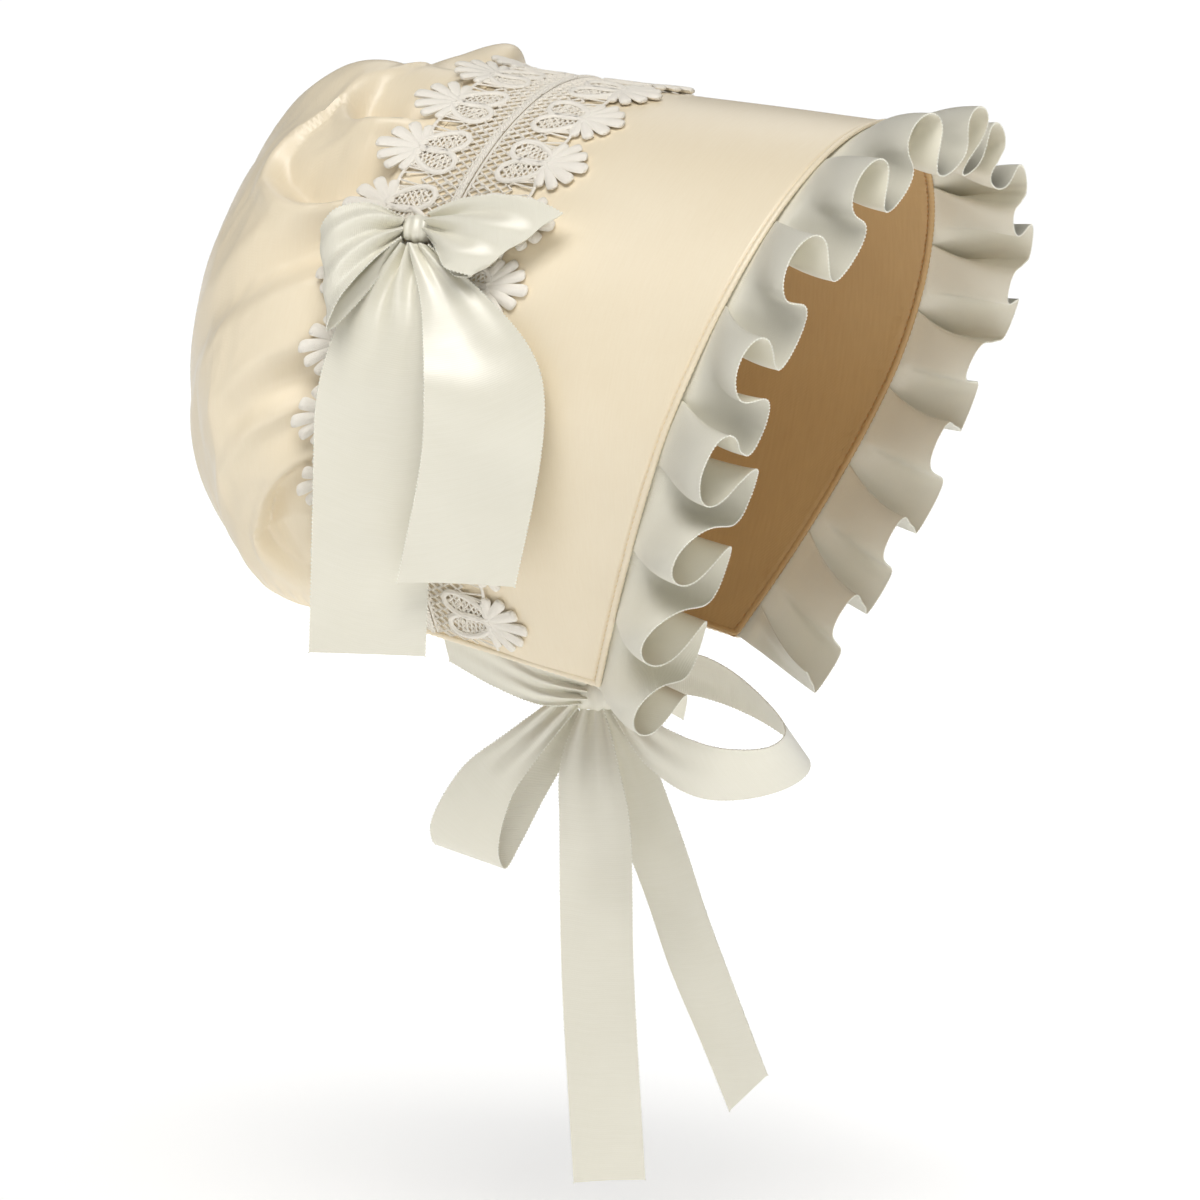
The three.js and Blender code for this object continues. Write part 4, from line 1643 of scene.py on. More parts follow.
    def add_braid(self, threads: Threads) -> None:
        """Adds the twisted braid along the middle.

        Args:
            threads: Where the threads are gathered.
        """
        along = np.linspace(-self.repeat / 2, self.repeat / 2, 41)
        twist = 2 * math.pi * along / self.braid_pitch
        middle, swing = self.braid_rise
        for start in (0, math.pi):
            across = self.braid_half * np.cos(twist + start)
            height = self.ground + middle + swing * np.sin(twist + start)
            threads.add(self.flat(along, across, height), self.braid, UP, sides=5)
        for side in (-1, 1):
            edge = self.flat(along[::4], side * self.braid_edge, self.ground)
            threads.add(edge, self.braid_edge_thread, UP, sides=5)

    def threads(self) -> Threads:
        """The whole repeat.

        Returns:
            The gathered threads.
        """
        made = Threads()
        for way in (-1, 1):
            mirror = np.array([1, way, 1])
            self.add_net(made, mirror)
            self.add_fan(made, mirror)
            for side in (-1, 1):
                self.add_leaf(made, mirror, side)
        self.add_braid(made)
        return made


@dataclass
class LaceBand:
    """The lace over the seam of the crown."""

    repeats: int = 20
    width: float = 82.0
    middle_ahead: float = 23.0
    limit: float = 0.985
    lift: float = 0.35
    rear_lift: float = 0.8
    rear_span: tuple[float, float] = (-2, 18)
    columns: int = 240
    rows: int = 34
    motif: LaceMotif = field(default_factory=LaceMotif)
    flat: tuple[float, float] = (0.082, 0.50)

    def band(self) -> tuple[bpy.types.Object, float]:
        """The curved band that the flat lace is laid on, and its length.

        Returns:
            The band, and its length in millimetres.
        """
        share = even_shares(FORM.lace, self.middle_ahead, self.columns, self.limit)
        ahead = self.middle_ahead + self.width * np.linspace(-0.5, 0.5, self.rows)
        points = FORM.lace(share[:, None], ahead[None, :])
        off = grid_normals(points)
        off = off * np.sign(np.sum(off * (points - HEAD_MIDDLE), axis=-1, keepdims=True))
        length = runs(points[:, self.rows // 2])[-1]
        rear = smooth(-ahead, *self.rear_span)[None, :, None]
        points = points + off * (self.lift + self.rear_lift * rear)
        faces = grid_faces(self.columns, self.rows)
        mesh = bpy.data.meshes.new("lace_ground")
        mesh.from_pydata((points.reshape(-1, 3) * MM).tolist(), [], faces.tolist())
        sides = (np.linspace(0, 1, self.columns), np.linspace(0, 1, self.rows))
        spots = np.stack(np.meshgrid(*sides, indexing="ij"), axis=-1).reshape(-1, 2)
        set_map(mesh, spots, faces.ravel())
        lie = mesh.attributes.new(LIE, "FLOAT_VECTOR", "POINT")
        lie.data.foreach_set("vector", off.reshape(-1, 3).astype(np.float32).ravel())
        return linked("lace_ground", mesh), length

    def build(self, finishes: Finishes) -> None:
        """Lays the lace and seats it.

        Args:
            finishes: The materials.
        """
        band, length = self.band()
        motif = self.motif.threads().piece("lace_motif", finishes.lace)
        stretch = length / (self.repeats * self.motif.repeat)
        motif.data.transform(Matrix.Diagonal((stretch, 1, 1, 1)))
        values = {
            "Motif": motif,
            "Repeats": self.repeats,
            "Repeat": self.motif.repeat * stretch * MM,
            "Width": self.width * MM,
            "Material": finishes.lace,
        }
        lace = LaceOnCloth().run(band, "lace_galloon", values)
        bpy.data.objects.remove(motif)
        seat(lace, ["lace_band"])


# The ruffle


@dataclass(frozen=True)
class Pleat:
    """How the pleats stand at one place along the rim.

    Number counts the pleats and share is where they are sewn. Out is how far off the brim the free edge
    lies, rise is half its depth from front folds to inner ones, lean is how far the front folds run on
    along the rim, loop is how far they double back, slide is how far the free edge has moved along the
    rim, fold is half the lap of the sewn edge and square is how flat the folds are pressed.
    """

    number: float
    share: float
    out: float
    rise: float
    lean: float
    loop: float
    slide: float
    fold: float
    square: float = 0.0


@dataclass
class Ruffle:
    """The ribbon pleated round the rim, flat where it is sewn and looped at its free edge."""

    pleats: tuple[Pleat, ...] = (
        Pleat(-0.5, -1.04, 6.5, 14.5, -1.4, 1.0, 5, -12),
        Pleat(1.5, -0.81, 9.0, 15.0, -1.4, 1.0, 1, -12),
        Pleat(3.0, -0.643, 7.5, 14.0, -1.4, 1.0, -2, -12),
        Pleat(3.5, -0.566, 10.0, 11.5, 1.5, 1.0, -11, 12),
        Pleat(4.5, -0.451, 8.0, 10.5, 4.5, 1.0, -10, 12),
        Pleat(6.5, -0.182, 4.0, 11.0, 4.5, 1.0, -12, 12),
        Pleat(7.5, -0.056, 2.0, 11.5, 4.5, 1.0, -12, 12),
        Pleat(8.5, 0.069, -3.5, 11.0, 4.0, 0.9, -7, 12),
        Pleat(11.0, 0.38, -3.0, 6.5, 2.5, 0.6, -6, 12, 0.8),
        Pleat(12.5, 0.54, -2.5, 7.5, 2.5, 0.6, 3, 12, 1.0),
        Pleat(14.5, 0.775, -1.0, 9.5, 2.5, 0.6, 7, 12, 1.0),
        Pleat(17.0, 1.02, 0.0, 9.5, 2.5, 0.6, 7, 12, 1.0),
    )
    first: float = -0.3
    last: float = 16.6
    width: float = 32.0
    loop_swing: float = 1.88
    heading_out: float = -1.45
    heading_rise: float = 0.5
    heading_swing: float = 0.35
    puff: float = 0.75
    tuck: float = 0.06
    corner_droop: float = 13.0
    droop_start: float = 0.6
    last_share: float = 0.999
    pressed_power: float = 0.5
    line_steps: int = 480
    gap: float = 0.35
    thick: float = 0.4
    steps: int = 48
    rows: int = 24
    vary: float = 0.1
    flat: tuple[float, float] = (0.034, 1.25)

    def pleat_line(self) -> tuple[Array, Array]:
        """Swing and rise along one pleat, a line whose heading swings from side to side.

        Returns:
            Both, from the start of a pleat to its end.
        """
        steps = self.line_steps
        turn = 2 * math.pi * (np.arange(steps) + 0.5) / steps
        heading = self.loop_swing * np.cos(turn)
        along = np.concatenate([[0], np.cumsum(np.cos(heading))])
        rise = np.concatenate([[0], np.cumsum(np.sin(heading))])
        swing = along / along[-1] - np.linspace(0, 1, steps + 1)
        return swing, rise / np.abs(rise).max()

    def grid(self) -> Array:
        """The ribbon's points along the rim and out from it.

        Returns:
            A grid of points.
        """
        swing, rise = self.pleat_line()
        rng = np.random.default_rng(SEED + 5)
        count = int((self.last - self.first) * self.steps)
        turn = np.linspace(self.first, self.last, count)[:, None]
        reach = np.linspace(-self.tuck, 1, self.rows)[None, :]
        free = np.maximum(reach, 0)
        opened = blend(free, np.sin(free * math.pi / 2), self.puff)
        spot = np.linspace(0, 1, len(swing))
        swing_at = np.interp(turn % 1, spot, swing)
        rise_at = np.interp(turn % 1, spot, rise)
        uneven = 1 + self.vary * read_rows(rng.uniform(-1, 1, (20, 3)), turn[:, 0] + 1)
        numbers = [pleat.number for pleat in self.pleats]
        level, out, tall, lean, loop, slide, fold, square = (
            np.interp(turn, numbers, [getattr(pleat, name) for pleat in self.pleats])
            for name in ("share", "out", "rise", "lean", "loop", "slide", "fold", "square")
        )
        pressed = np.sign(rise_at) * np.abs(rise_at) ** self.pressed_power
        half_rim = RIM_LENGTH / 2
        pitch = half_rim * np.gradient(level, turn[:, 0], axis=0)
        free_out = out + tall * uneven[:, :1] * blend(rise_at, pressed, square)
        off = blend(self.heading_out + self.heading_rise * rise_at, free_out, opened)
        leaning = blend(fold * rise_at, lean * uneven[:, 1:2] * rise_at + slide, opened)
        swung = blend(self.heading_swing, loop, opened) * swing_at * pitch
        share = level + (swung + leaning) / half_rim
        inside = np.clip(share, -self.last_share, self.last_share)
        ones = np.ones(inside.shape)
        rim = FORM.brim(inside, ones)
        ahead = unit(rim - FORM.brim(inside, 0 * ones))
        along = unit(FORM.brim(inside + 1e-3, ones) - FORM.brim(inside - 1e-3, ones))
        outside = unit(np.cross(ahead, along))
        droop = math.radians(self.corner_droop) * smooth(np.abs(inside), self.droop_start, 1)
        length = reach * np.sqrt((self.width * uneven[:, 2:]) ** 2 - free_out**2)
        forward = self.gap + length * np.cos(droop)
        aside = np.sign(inside) * length * np.sin(droop) + (share - inside) * half_rim
        return rim + ahead * forward[..., None] + along * aside[..., None] + outside * off[..., None]

    def build(self, finishes: Finishes, beads: BeadLine) -> None:
        """Makes the ruffle with its looped edge and seats them.

        Args:
            finishes: The materials.
            beads: The tree that makes looped edges.
        """
        points = self.grid()
        piece = shell("ruffle_ribbon", points, -self.thick / 2, self.thick / 2, finishes.ribbon)
        seat(piece, ["ruffle"])
        edge = beads.sew("ruffle_picots", [points[:, -1]], PICOT_PITCH, PICOT, finishes.edge)
        seat(edge)


# Ribbons and bows


@dataclass(frozen=True)
class Section:
    """Where the sections of a ribbon lie: their middles, the way across them and their half widths."""

    middle: Array
    across: Array
    half: Array


@dataclass(frozen=True)
class Crease:
    """Creases in a ribbon that is drawn together at an end: how deep, how many and how far they run."""

    deep: float
    count: float
    long: float
    phase: float = 0.0
    fade_power: float = 1.5
    edge_loss: float = 0.5

    def lift(self, aside: Array, run: Array) -> Array:
        """Height of the creases off the ribbon, at places across it and lengths from the end."""
        fade = np.exp(-((run / self.long) ** self.fade_power)) * (1 - self.edge_loss * aside**4)
        return self.deep * np.sin(math.pi * self.count * aside + self.phase) * fade


NO_CREASE = Crease(0, 1, 10)


@dataclass(frozen=True)
class Ribbon:
    """A length of ribbon through a table of sections, drawn together at either end."""

    name: str
    rows: tuple[tuple[float, ...], ...]
    flat: tuple[float, float]
    held: Hold = Hold.HUNG
    start: Crease = NO_CREASE
    end: Crease = NO_CREASE
    cup: float = 0.0
    cup_level: float = 0.35
    cut: float = 0.0
    cut_start: float = 0.6
    bend: float = 0.0
    bend_long: float = 22.0
    bend_span: tuple[float, float] = (0.15, 0.4)

    def grid(self, section: Callable[[Array], Section], steps: int, columns: int) -> Array:
        """The ribbon's points along it and across it.

        Args:
            section: Turns rows of the table into sections.
            steps: Number of points along the ribbon.
            columns: Number of points across it.

        Returns:
            A grid of points.
        """
        rows = np.array(self.rows, float)
        fine = np.linspace(0, len(rows) - 1, 40 * len(rows))
        lengths = runs(section(read_rows(rows, fine)).middle)
        position = np.interp(np.linspace(0, lengths[-1], steps), lengths, fine)
        here = section(read_rows(rows, position))
        along = unit(np.gradient(here.middle, axis=0))
        across = unit(here.across)
        normal = unit(np.cross(along, across))
        aside = np.linspace(-1, 1, columns)[None, :]
        run = np.linspace(0, lengths[-1], steps)[:, None]
        lift = self.start.lift(aside, run) + self.end.lift(aside, lengths[-1] - run)
        lift = lift + self.cup * (aside**2 - self.cup_level) * (here.half / here.half.max())[:, None]
        points = here.middle[:, None] + across[:, None] * (aside * here.half[:, None])[..., None]
        cells = (max(int(lengths[-1] / self.bend_long), 3), 2)
        bends = soft_noise((steps, columns), cells, SEED + len(self.name))
        bend_from, bend_to = (part * lengths[-1] for part in self.bend_span)
        lift = lift + self.bend * bends * smooth(run, bend_from, bend_to)
        slant = self.cut * aside * smooth(run, self.cut_start * lengths[-1], lengths[-1])
        points = points + along[:, None] * slant[..., None]
        return points + normal[:, None] * lift[..., None]


@dataclass
class RibbonWork:
    """What all the bows' ribbons share: thickness, fineness and looped edges."""

    thick: float = 0.4
    columns: int = 25
    step: float = 1.6
    least_steps: int = 20
    knot_sides: int = 56
    knot_rows: int = 33
    knot_end: float = 0.16
    knot_bulge: float = 3.2
    knot_square: float = 0.8
    # Creases round a knot: how deep, how close, and how far they wander
    knot_creases: tuple[float, float, float] = (0.07, 9.5, 0.8)

    def lay(self, ribbon: Ribbon, section: Callable[[Array], Section], finishes: Finishes) -> list[Array]:
        """Makes one ribbon in the place of its solid.

        Args:
            ribbon: The ribbon.
            section: Turns rows of its table into sections.
            finishes: The materials.

        Returns:
            The lines of its two edges.
        """
        steps = max(int(ribbon.flat[1] / MM / self.step), self.least_steps)
        points = ribbon.grid(section, steps, self.columns)
        piece = shell(ribbon.name + "_ribbon", points, -self.thick / 2, self.thick / 2, finishes.ribbon)
        seat(piece, [ribbon.name])
        return [points[:, 0], points[:, -1]]

    def squared(self, value: Array) -> Array:
        """A round section's sine or cosine, drawn toward a square's."""
        return np.sign(value) * np.abs(value) ** self.knot_square

    def knot(self, name: str, sizes: tuple[float, float, float], axes: Array, middle: Array,
             finishes: Finishes) -> None:
        """Makes a knot: a short band of ribbon drawn tight, with creases round it.

        Args:
            name: The solid that it stands for.
            sizes: Half sizes along the bow, across it and off it.
            axes: The bow's three directions, as rows.
            middle: The knot's middle.
            finishes: The materials.
        """
        angle = np.linspace(0, 2 * math.pi, self.knot_sides, endpoint=False)[:, None]
        slide = np.linspace(-1, 1, self.knot_rows)[None, :]
        bulge = np.maximum(1 - np.abs(slide) ** self.knot_bulge, 0) ** 0.5
        deep, close, wander = self.knot_creases
        crease = 1 + deep * np.cos(slide * close + wander * np.sin(2 * angle)) * bulge
        radius = (self.knot_end + (1 - self.knot_end) * bulge) * crease
        along = np.broadcast_to(slide * sizes[0], radius.shape)
        across = self.squared(np.cos(angle)) * sizes[1] * radius
        off = self.squared(np.sin(angle)) * sizes[2] * radius
        points = middle + np.stack([along, across, off], axis=-1) @ axes
        corners = points.reshape(-1, 3)
        index = np.arange(len(corners)).reshape(radius.shape)
        after = np.roll(index, -1, axis=0)
        quads = np.stack([index[:, :-1], after[:, :-1], after[:, 1:], index[:, 1:]], axis=-1).reshape(-1, 4)
        faces = [*quads.tolist(), index[::-1, 0].tolist(), index[:, -1].tolist()]
        piece = mesh_object(name + "_ribbon", corners, faces, finishes.ribbon)
        spots = np.stack(np.broadcast_arrays(along, angle * sizes[1]), axis=-1).reshape(-1, 2) * MM
        order = np.array([corner for face in faces for corner in face])
        set_map(piece.data, spots, order)
        seat(piece, [name])


# Loops: sections about the knot along the brim, up it and off it, with half widths and slants
BOW_LOOPS = (
    Ribbon(
        "bow_loop_front",
        (
            (5.5, 0.8, 6.6, 3.8, 0),
            (18, 0, 11, 11, 20),
            (32, -2, 12.5, 18, 40),
            (42, -3.5, 9, 18.5, 46),
            (32, -2, 6, 18, 40),
            (18, 0.5, 6, 11, 20),
            (5.5, 1, 4.0, 3.8, 0),
        ),
        flat=(0.040, 0.076),
        held=Hold.FOLDED,
        start=Crease(2.8, 2.5, 24),
        end=Crease(2.0, 2.5, 20),
    ),
    Ribbon(
        "bow_loop_back",
        (
            (-4.8, -1.0, 6.2, 4.2, -10),
            (-12, -7, 13.5, 11.5, -20),
            (-19, -17, 17.5, 16.5, -22),
            (-23, -26, 14, 18.5, -22),
            (-19, -17.5, 8.5, 16.5, -22),
            (-12, -8, 5.6, 11.5, -20),
            (-4.8, -1.8, 3.8, 4.2, -10),
        ),
        flat=(0.040, 0.067),
        held=Hold.FOLDED,
        start=Crease(2.8, 2.5, 19, 0.8),
        end=Crease(2.4, 2.5, 20),
    ),
)
# Tails: sections out from the middle line, forward and up, with half widths and turns to the front
BOW_TAILS = (
    Ribbon(
        "bow_tail_back",
        (
            (80.7, -16.6, 140.6, 3.8, 4),
            (87, -19, 127, 13, 6),
            (92.5, -18.5, 112, 18.5, 12),
            (97, -21, 88, 20, 20),
            (97, -22.5, 50, 20, 20),
            (97, -24.5, 3.5, 20, 20),
        ),
        flat=(0.040, 0.140),
        start=Crease(2.6, 3.0, 26, 0.6),
        cup=0.8,
        bend=1.3,
    ),
    Ribbon(
        "bow_tail_front",
        (
            (82.6, -12.2, 141.4, 3.8, 4),
            (88, 4, 126, 12, 6),
            (95.5, 17, 111, 18, 12),
            (101, 23, 95, 20, 20),
            (101, 21, 70, 20, 20),
            (96.5, 9.5, 30, 20, 20),
        ),
        flat=(0.040, 0.129),
        start=Crease(1.6, 2.0, 24),
        cup=0.8,
        bend=1.3,
    ),
)


@dataclass
class SideBow:
    """The bow on the wearer's right, with two loops, a knot and two hanging tails."""

    share: float = -0.38
    ahead: float = 16.0
    seat_lift: float = 1.65
    knot: tuple[float, float, float] = (5.4, 4.6, 3.2)
    knot_clear: float = 0.4
    loops: tuple[Ribbon, ...] = BOW_LOOPS
    tails: tuple[Ribbon, ...] = BOW_TAILS

    def axes(self) -> tuple[Array, Array]:
        """The bow's seat, and its directions along the brim, up it and off it.

        Returns:
            The seat, and the directions as rows.
        """
        share, ahead = np.array([self.share]), np.array([self.ahead])
        off = outward(FORM.lace, share, ahead, 2e-3)[0]
        origin = FORM.lace(share, ahead)[0] + off * self.seat_lift
        along = unit(FORM.lace(share, ahead + 1)[0] - FORM.lace(share, ahead - 1)[0])
        rise = unit(np.cross(off, along))
        return origin, np.array([along, rise * np.sign(rise[2]), off])

    def loop_section(self, rows: Array) -> Section:
        """Sections of the loops.

        Args:
            rows: Rows of the table.

        Returns:
            The sections.
        """
        origin, axes = self.axes()
        slant = np.radians(rows[:, 4:5])
        across = axes[1] * np.cos(slant) + axes[0] * np.sin(slant)
        return Section(origin + rows[:, :3] @ axes, across, rows[:, 3])

    def tail_section(self, rows: Array) -> Section:
        """Sections of the tails.

        Args:
            rows: Rows of the table.

        Returns:
            The sections.
        """
        turn = np.radians(rows[:, 4])
        across = np.stack([np.sin(turn), -np.cos(turn), np.zeros(turn.shape)], axis=-1)
        return Section(place(-rows[:, 0], rows[:, 1], rows[:, 2]), across, rows[:, 3])

    def build(self, finishes: Finishes, work: RibbonWork, beads: BeadLine) -> None:
        """Makes the bow and seats it.

        Args:
            finishes: The materials.
            work: What the ribbons share.
            beads: The tree that makes looped edges.
        """
        edges = []
        for ribbon in self.loops:
            edges += work.lay(ribbon, self.loop_section, finishes)
        for ribbon in self.tails:
            edges += work.lay(ribbon, self.tail_section, finishes)
        origin, axes = self.axes()
        middle = origin + axes[2] * (self.knot[2] + self.knot_clear)
        work.knot("bow_knot", self.knot, axes, middle, finishes)
        seat(beads.sew("bow_picots", edges, PICOT_PITCH, PICOT, finishes.edge))


# Straps: sections out to the wearer's right, forward and up, with half widths and leans
TIE_STRAPS = (
    Ribbon(
        "tie_strap_right",
        (
            (50, -22, 4, 12.3, 24),
            (47, -6, -4, 11.5, 20),
            (35, 7, -14, 8, 12),
            (15.5, 14.5, -20, 4, 0),
        ),
        flat=(0.025, 0.060),
        end=Crease(2.0, 3.0, 26),
    ),
    Ribbon(
        "tie_strap_left",
        (
            (-50, -22, 4, 12.3, -24),
            (-46, -6, -4, 11.5, -20),
            (-22, 5, -14, 8, -12),
            (7.5, 11.5, -20.5, 4, 0),
        ),
        flat=(0.025, 0.078),
        end=Crease(2.0, 3.0, 30),
    ),
)
# Loops and tails: sections about the knot sideways, up and toward the bow's face, with half widths,
# slants in the bow's plane and leans toward its face
TIE_RIBBONS = (
    Ribbon(
        "tie_loop_right",
        (
            (-7.6, -1, 2.6, 3.6, 50, 0),
            (-26, -17, 12, 7, 45, 0),
            (-37.5, -29, 14, 10, 33, 0),
            (-45, -47, 11, 12.4, 22, 0),
            (-43, -57, 4, 12.5, 20, 0),
            (-37, -48, -2, 12.4, 24, 0),
            (-27, -34, -4, 10, 33, 0),
            (-15, -18, -3, 7, 45, 0),
            (-7, -4.6, -1.5, 3.6, 50, 0),
        ),
        flat=(0.025, 0.142),
        held=Hold.FOLDED,
        start=Crease(1.2, 2.0, 22),
        end=Crease(1.0, 2.0, 18),
    ),
    Ribbon(
        "tie_loop_left",
        (
            (7, 1.4, -1.8, 3.6, 80, 0),
            (30, 5, -11, 9, 75, -20),
            (52, -3, -12, 12, 65, -30),
            (70, -18, -3, 12.5, 60, -40),
            (62, -25, 9, 12.5, 75, -40),
            (40, -25.5, 14, 12, 100, -30),
            (21, -17, 10, 8, 110, -15),
            (7.8, -3.6, 2.6, 3.6, 115, 0),
        ),
        flat=(0.025, 0.156),
        held=Hold.FOLDED,
        start=Crease(1.0, 2.0, 22),
        end=Crease(1.2, 2.0, 22),
    ),
    Ribbon(
        "tie_tail_right",
        (
            (-1, -5.4, 2, 4, 0, 0),
            (-2, -24, 7, 10, 2, 0),
            (0, -48, 8, 12.3, 4, 0),
            (1, -100, 8, 12.5, -3, 0),
            (5, -172, 8, 12.5, -3, 0),
        ),
        flat=(0.025, 0.168),
        start=Crease(1.4, 2.0, 26),
        cup=0.3,
        bend=0.9,
    ),
    Ribbon(
        "tie_tail_left",
        (
            (2, -5.8, -1.8, 4, -20, 0),
            (11, -26, -5, 10, -20, 25),
            (22, -58, -6, 12, -19, 35),
            (35, -96, -6, 12.5, -20, 40),
            (54, -144, -6, 12.5, -20, 40),
        ),
        flat=(0.025, 0.148),
        start=Crease(1.2, 2.0, 26),
        cup=0.3,
        bend=0.9,
        cut=-6.0,
    ),
)


@dataclass
class Ties:
    """The two ribbons that tie below the chin, with their bow and hanging ends."""

    knot_out: float = 10
    knot_forward: float = 16
    knot_height: float = -21
    knot_turn: float = 62
    knot: tuple[float, float, float] = (8, 6, 5)
    straps: tuple[Ribbon, ...] = TIE_STRAPS
    ribbons: tuple[Ribbon, ...] = TIE_RIBBONS

    def axes(self) -> tuple[Array, Array]:
        """The knot's middle, and the bow's directions sideways, up and toward its face.

        Returns:
            The middle, and the directions as rows.
        """
        turn = math.radians(self.knot_turn)
        side = np.array([math.cos(turn), -math.sin(turn), 0])
        near = np.array([-math.sin(turn), -math.cos(turn), 0])
        middle = place(np.array(-self.knot_out), np.array(self.knot_forward), self.knot_height)
        return middle, np.array([side, UP, near])

    def strap_section(self, rows: Array) -> Section:
        """Sections of the straps.

        Args:
            rows: Rows of the table.

        Returns:
            The sections.
        """
        lean = np.radians(rows[:, 4])
        across = np.stack([-np.sin(lean), np.zeros(lean.shape), np.cos(lean)], axis=-1)
        return Section(place(-rows[:, 0], rows[:, 1], rows[:, 2]), across, rows[:, 3])

    def bow_section(self, rows: Array) -> Section:
        """Sections of the loops and tails.

        Args:
            rows: Rows of the table.

        Returns:
            The sections.
        """
        middle, axes = self.axes()
        slant, depth = np.radians(rows[:, 4:5]), np.radians(rows[:, 5:6])
        flat = axes[0] * np.cos(slant) - axes[1] * np.sin(slant)
        across = flat * np.cos(depth) + axes[2] * np.sin(depth)
        return Section(middle + rows[:, :3] @ axes, across, rows[:, 3])

    def build(self, finishes: Finishes, work: RibbonWork, beads: BeadLine) -> None:
        """Makes the ties and seats them.

        Args:
            finishes: The materials.
            work: What the ribbons share.
            beads: The tree that makes looped edges.
        """
        edges = []
        for ribbon in self.straps:
            edges += work.lay(ribbon, self.strap_section, finishes)
        for ribbon in self.ribbons:
            edges += work.lay(ribbon, self.bow_section, finishes)
        middle, axes = self.axes()
        work.knot("tie_knot", self.knot, axes, middle, finishes)
        seat(beads.sew("tie_picots", edges, PICOT_PITCH, PICOT, finishes.edge))


# The studio


def way_off(azimuth: float, elevation: float) -> Vector:
    """The way out from the bonnet at these angles, in degrees round from the front and up from the floor."""
    turn, rise = math.radians(azimuth), math.radians(elevation)
    return Vector((math.sin(turn) * math.cos(rise), -math.cos(turn) * math.cos(rise), math.sin(rise)))


@dataclass(frozen=True)
class Lamp:
    """A square soft light turned to the bonnet: its angles, power, colour, distance and size."""

    name: str
    azimuth: float
    elevation: float
    power: float
    colour: tuple[float, float, float] = (1.0, 1.0, 1.0)
    distance: float = 2.3
    size: float = 1.3
    aim: tuple[float, float, float] = (0.0, 0.0, -0.1)

    def build(self) -> None:
        """Sets the light."""
        data = bpy.data.lights.new(self.name, "AREA")
        data.size = self.size
        data.energy = self.power
        data.color = self.colour
        made = linked(self.name, data)
        off = way_off(self.azimuth, self.elevation)
        made.location = Vector(self.aim) + off * self.distance
        made.rotation_mode = "QUATERNION"
        made.rotation_quaternion = (-off).to_track_quat("-Z", "Y")


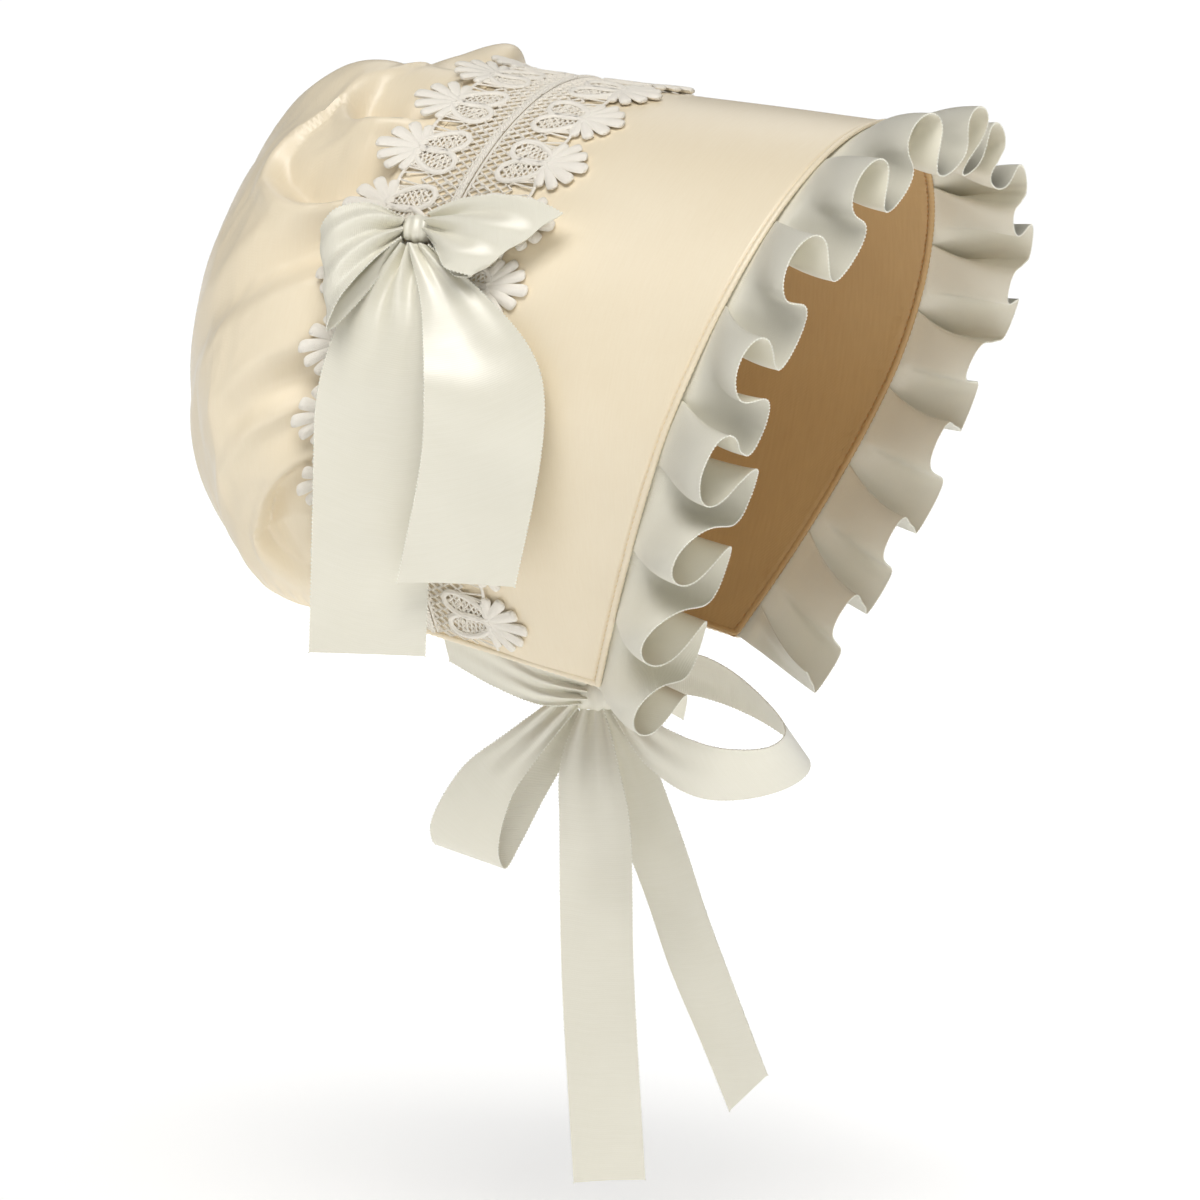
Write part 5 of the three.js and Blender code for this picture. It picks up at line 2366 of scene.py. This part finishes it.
@dataclass
class Studio:
    """A pale floor that glows as painted light, soft lights and a camera at the photograph's angle."""

    azimuth: float = -62.0
    elevation: float = 10.0
    aim: tuple[float, float, float] = (0.0, -12.6, -176.6)
    view_width: float = 416.4
    distance: float = 2200.0
    sensor: float = 36.0
    clip: tuple[float, float] = (0.05, 60.0)
    floor_drop: float = 45.0
    floor_half: float = 20.0
    floor_points: int = 41
    floor_colours: tuple[tuple[int, int, int], ...] = ((250, 250, 249), (247, 247, 246))
    floor_grain: float = 3.0
    floor_roughness: float = 0.9
    floor_rise: tuple[float, float, float] = (8.0, 20.0, 1.5)
    sky: float = 0.02
    # Painted light: the floor glows, dim round a spot off behind the bonnet and full far off
    floor_glow: tuple[float, float] = (0.2, 1.0)
    glow_reach: tuple[float, float] = (0.7, 2.3)
    glow_middle: tuple[float, float, float] = (1.09, -0.78, 0.0)
    lamps: tuple[Lamp, ...] = (
        Lamp("key_light", -72, 58, 37.0, (1.0, 0.985, 0.96)),
        Lamp("fill_light", -50, 30, 5.0),
        Lamp("far_light", 108, 42, 7.0),
        Lamp("gloss_light", -112, 45, 3.0, size=0.5),
    )

    def camera(self) -> None:
        """Sets the camera."""
        back = way_off(self.azimuth, self.elevation)
        data = bpy.data.cameras.new("camera")
        data.sensor_width = self.sensor
        data.lens = self.sensor * self.distance / self.view_width
        made = linked("camera", data)
        made.location = Vector(self.aim) * MM + back * (self.distance * MM)
        made.rotation_mode = "QUATERNION"
        made.rotation_quaternion = (-back).to_track_quat("-Z", "Y")
        data.clip_start, data.clip_end = self.clip
        bpy.context.scene.camera = made

    def lights(self) -> None:
        """Sets the lights and the sky."""
        for lamp in self.lamps:
            lamp.build()
        world = bpy.data.worlds.new("pale_sky")
        world.use_nodes = True
        sky = world.node_tree.nodes["Background"]
        sky.inputs["Color"].default_value = (1.0, 1.0, 1.0, 1.0)
        sky.inputs["Strength"].default_value = self.sky
        bpy.context.scene.world = world
        bpy.context.scene.view_settings.view_transform = "Standard"

    def floor(self) -> None:
        """Lays the pale floor below the ties, which rises a little far off and glows as painted light: dim
        round a spot off behind the bonnet and full far off.
        """
        level = cad_box[0].z / MM - self.floor_drop
        ticks = np.linspace(-self.floor_half, self.floor_half, self.floor_points)
        left, back = np.meshgrid(ticks, ticks, indexing="ij")
        flat, far, rise = self.floor_rise
        height = rise * smooth(np.hypot(left, back), flat, far)
        points = np.stack([left / MM, back / MM, level + height / MM], axis=-1).reshape(-1, 3)
        faces = grid_faces(self.floor_points, self.floor_points)
        material, graph, shader = new_material("pale_floor_with_painted_glow")
        spot = graph.node("ShaderNodeTexCoord").outputs["Object"]
        grain = graph.value("ShaderNodeTexNoise", None, {"Vector": spot, "Scale": self.floor_grain})
        pale, deep = (linear(colour) for colour in self.floor_colours)
        graph.tree.links.new(graph.mix(grain, pale, deep).socket, shader.inputs["Base Color"])
        shader.inputs["Roughness"].default_value = self.floor_roughness
        moved = graph.node("ShaderNodeVectorMath", {"operation": "ADD"}, {0: spot, 1: self.glow_middle})
        away = graph.node("ShaderNodeVectorMath", {"operation": "LENGTH"}, {0: moved.outputs[0]})
        start, end = self.glow_reach
        share = graph.value(
            "ShaderNodeMapRange",
            {"interpolation_type": "SMOOTHSTEP"},
            {"Value": away.outputs["Value"], "From Min": start, "From Max": end},
        )
        # Painted light and shade: the glow is dim near its middle, a painted shadow on the floor, and full
        # far off
        near, far = self.floor_glow
        glow = graph.mix(share, (near, near, near, 1.0), (far, far, far, 1.0))
        graph.tree.links.new(glow.socket, shader.inputs["Emission Color"])
        shader.inputs["Emission Strength"].default_value = 1.0
        mesh_object("floor", points, faces, material)

    def build(self) -> None:
        """Sets the whole studio."""
        self.camera()
        self.lights()
        self.floor()


def main() -> None:
    """Builds the bonnet's pieces in order."""
    logging.basicConfig(level=logging.INFO, format="%(message)s")
    Studio().build()
    finishes = Finishes()
    beads = BeadLine()
    Crown().build(finishes)
    Brim().build(finishes, beads)
    LaceBand().build(finishes)
    Ruffle().build(finishes, beads)
    work = RibbonWork()
    SideBow().build(finishes, work, beads)
    Ties().build(finishes, work, beads)


if __name__ == "__main__":
    main()
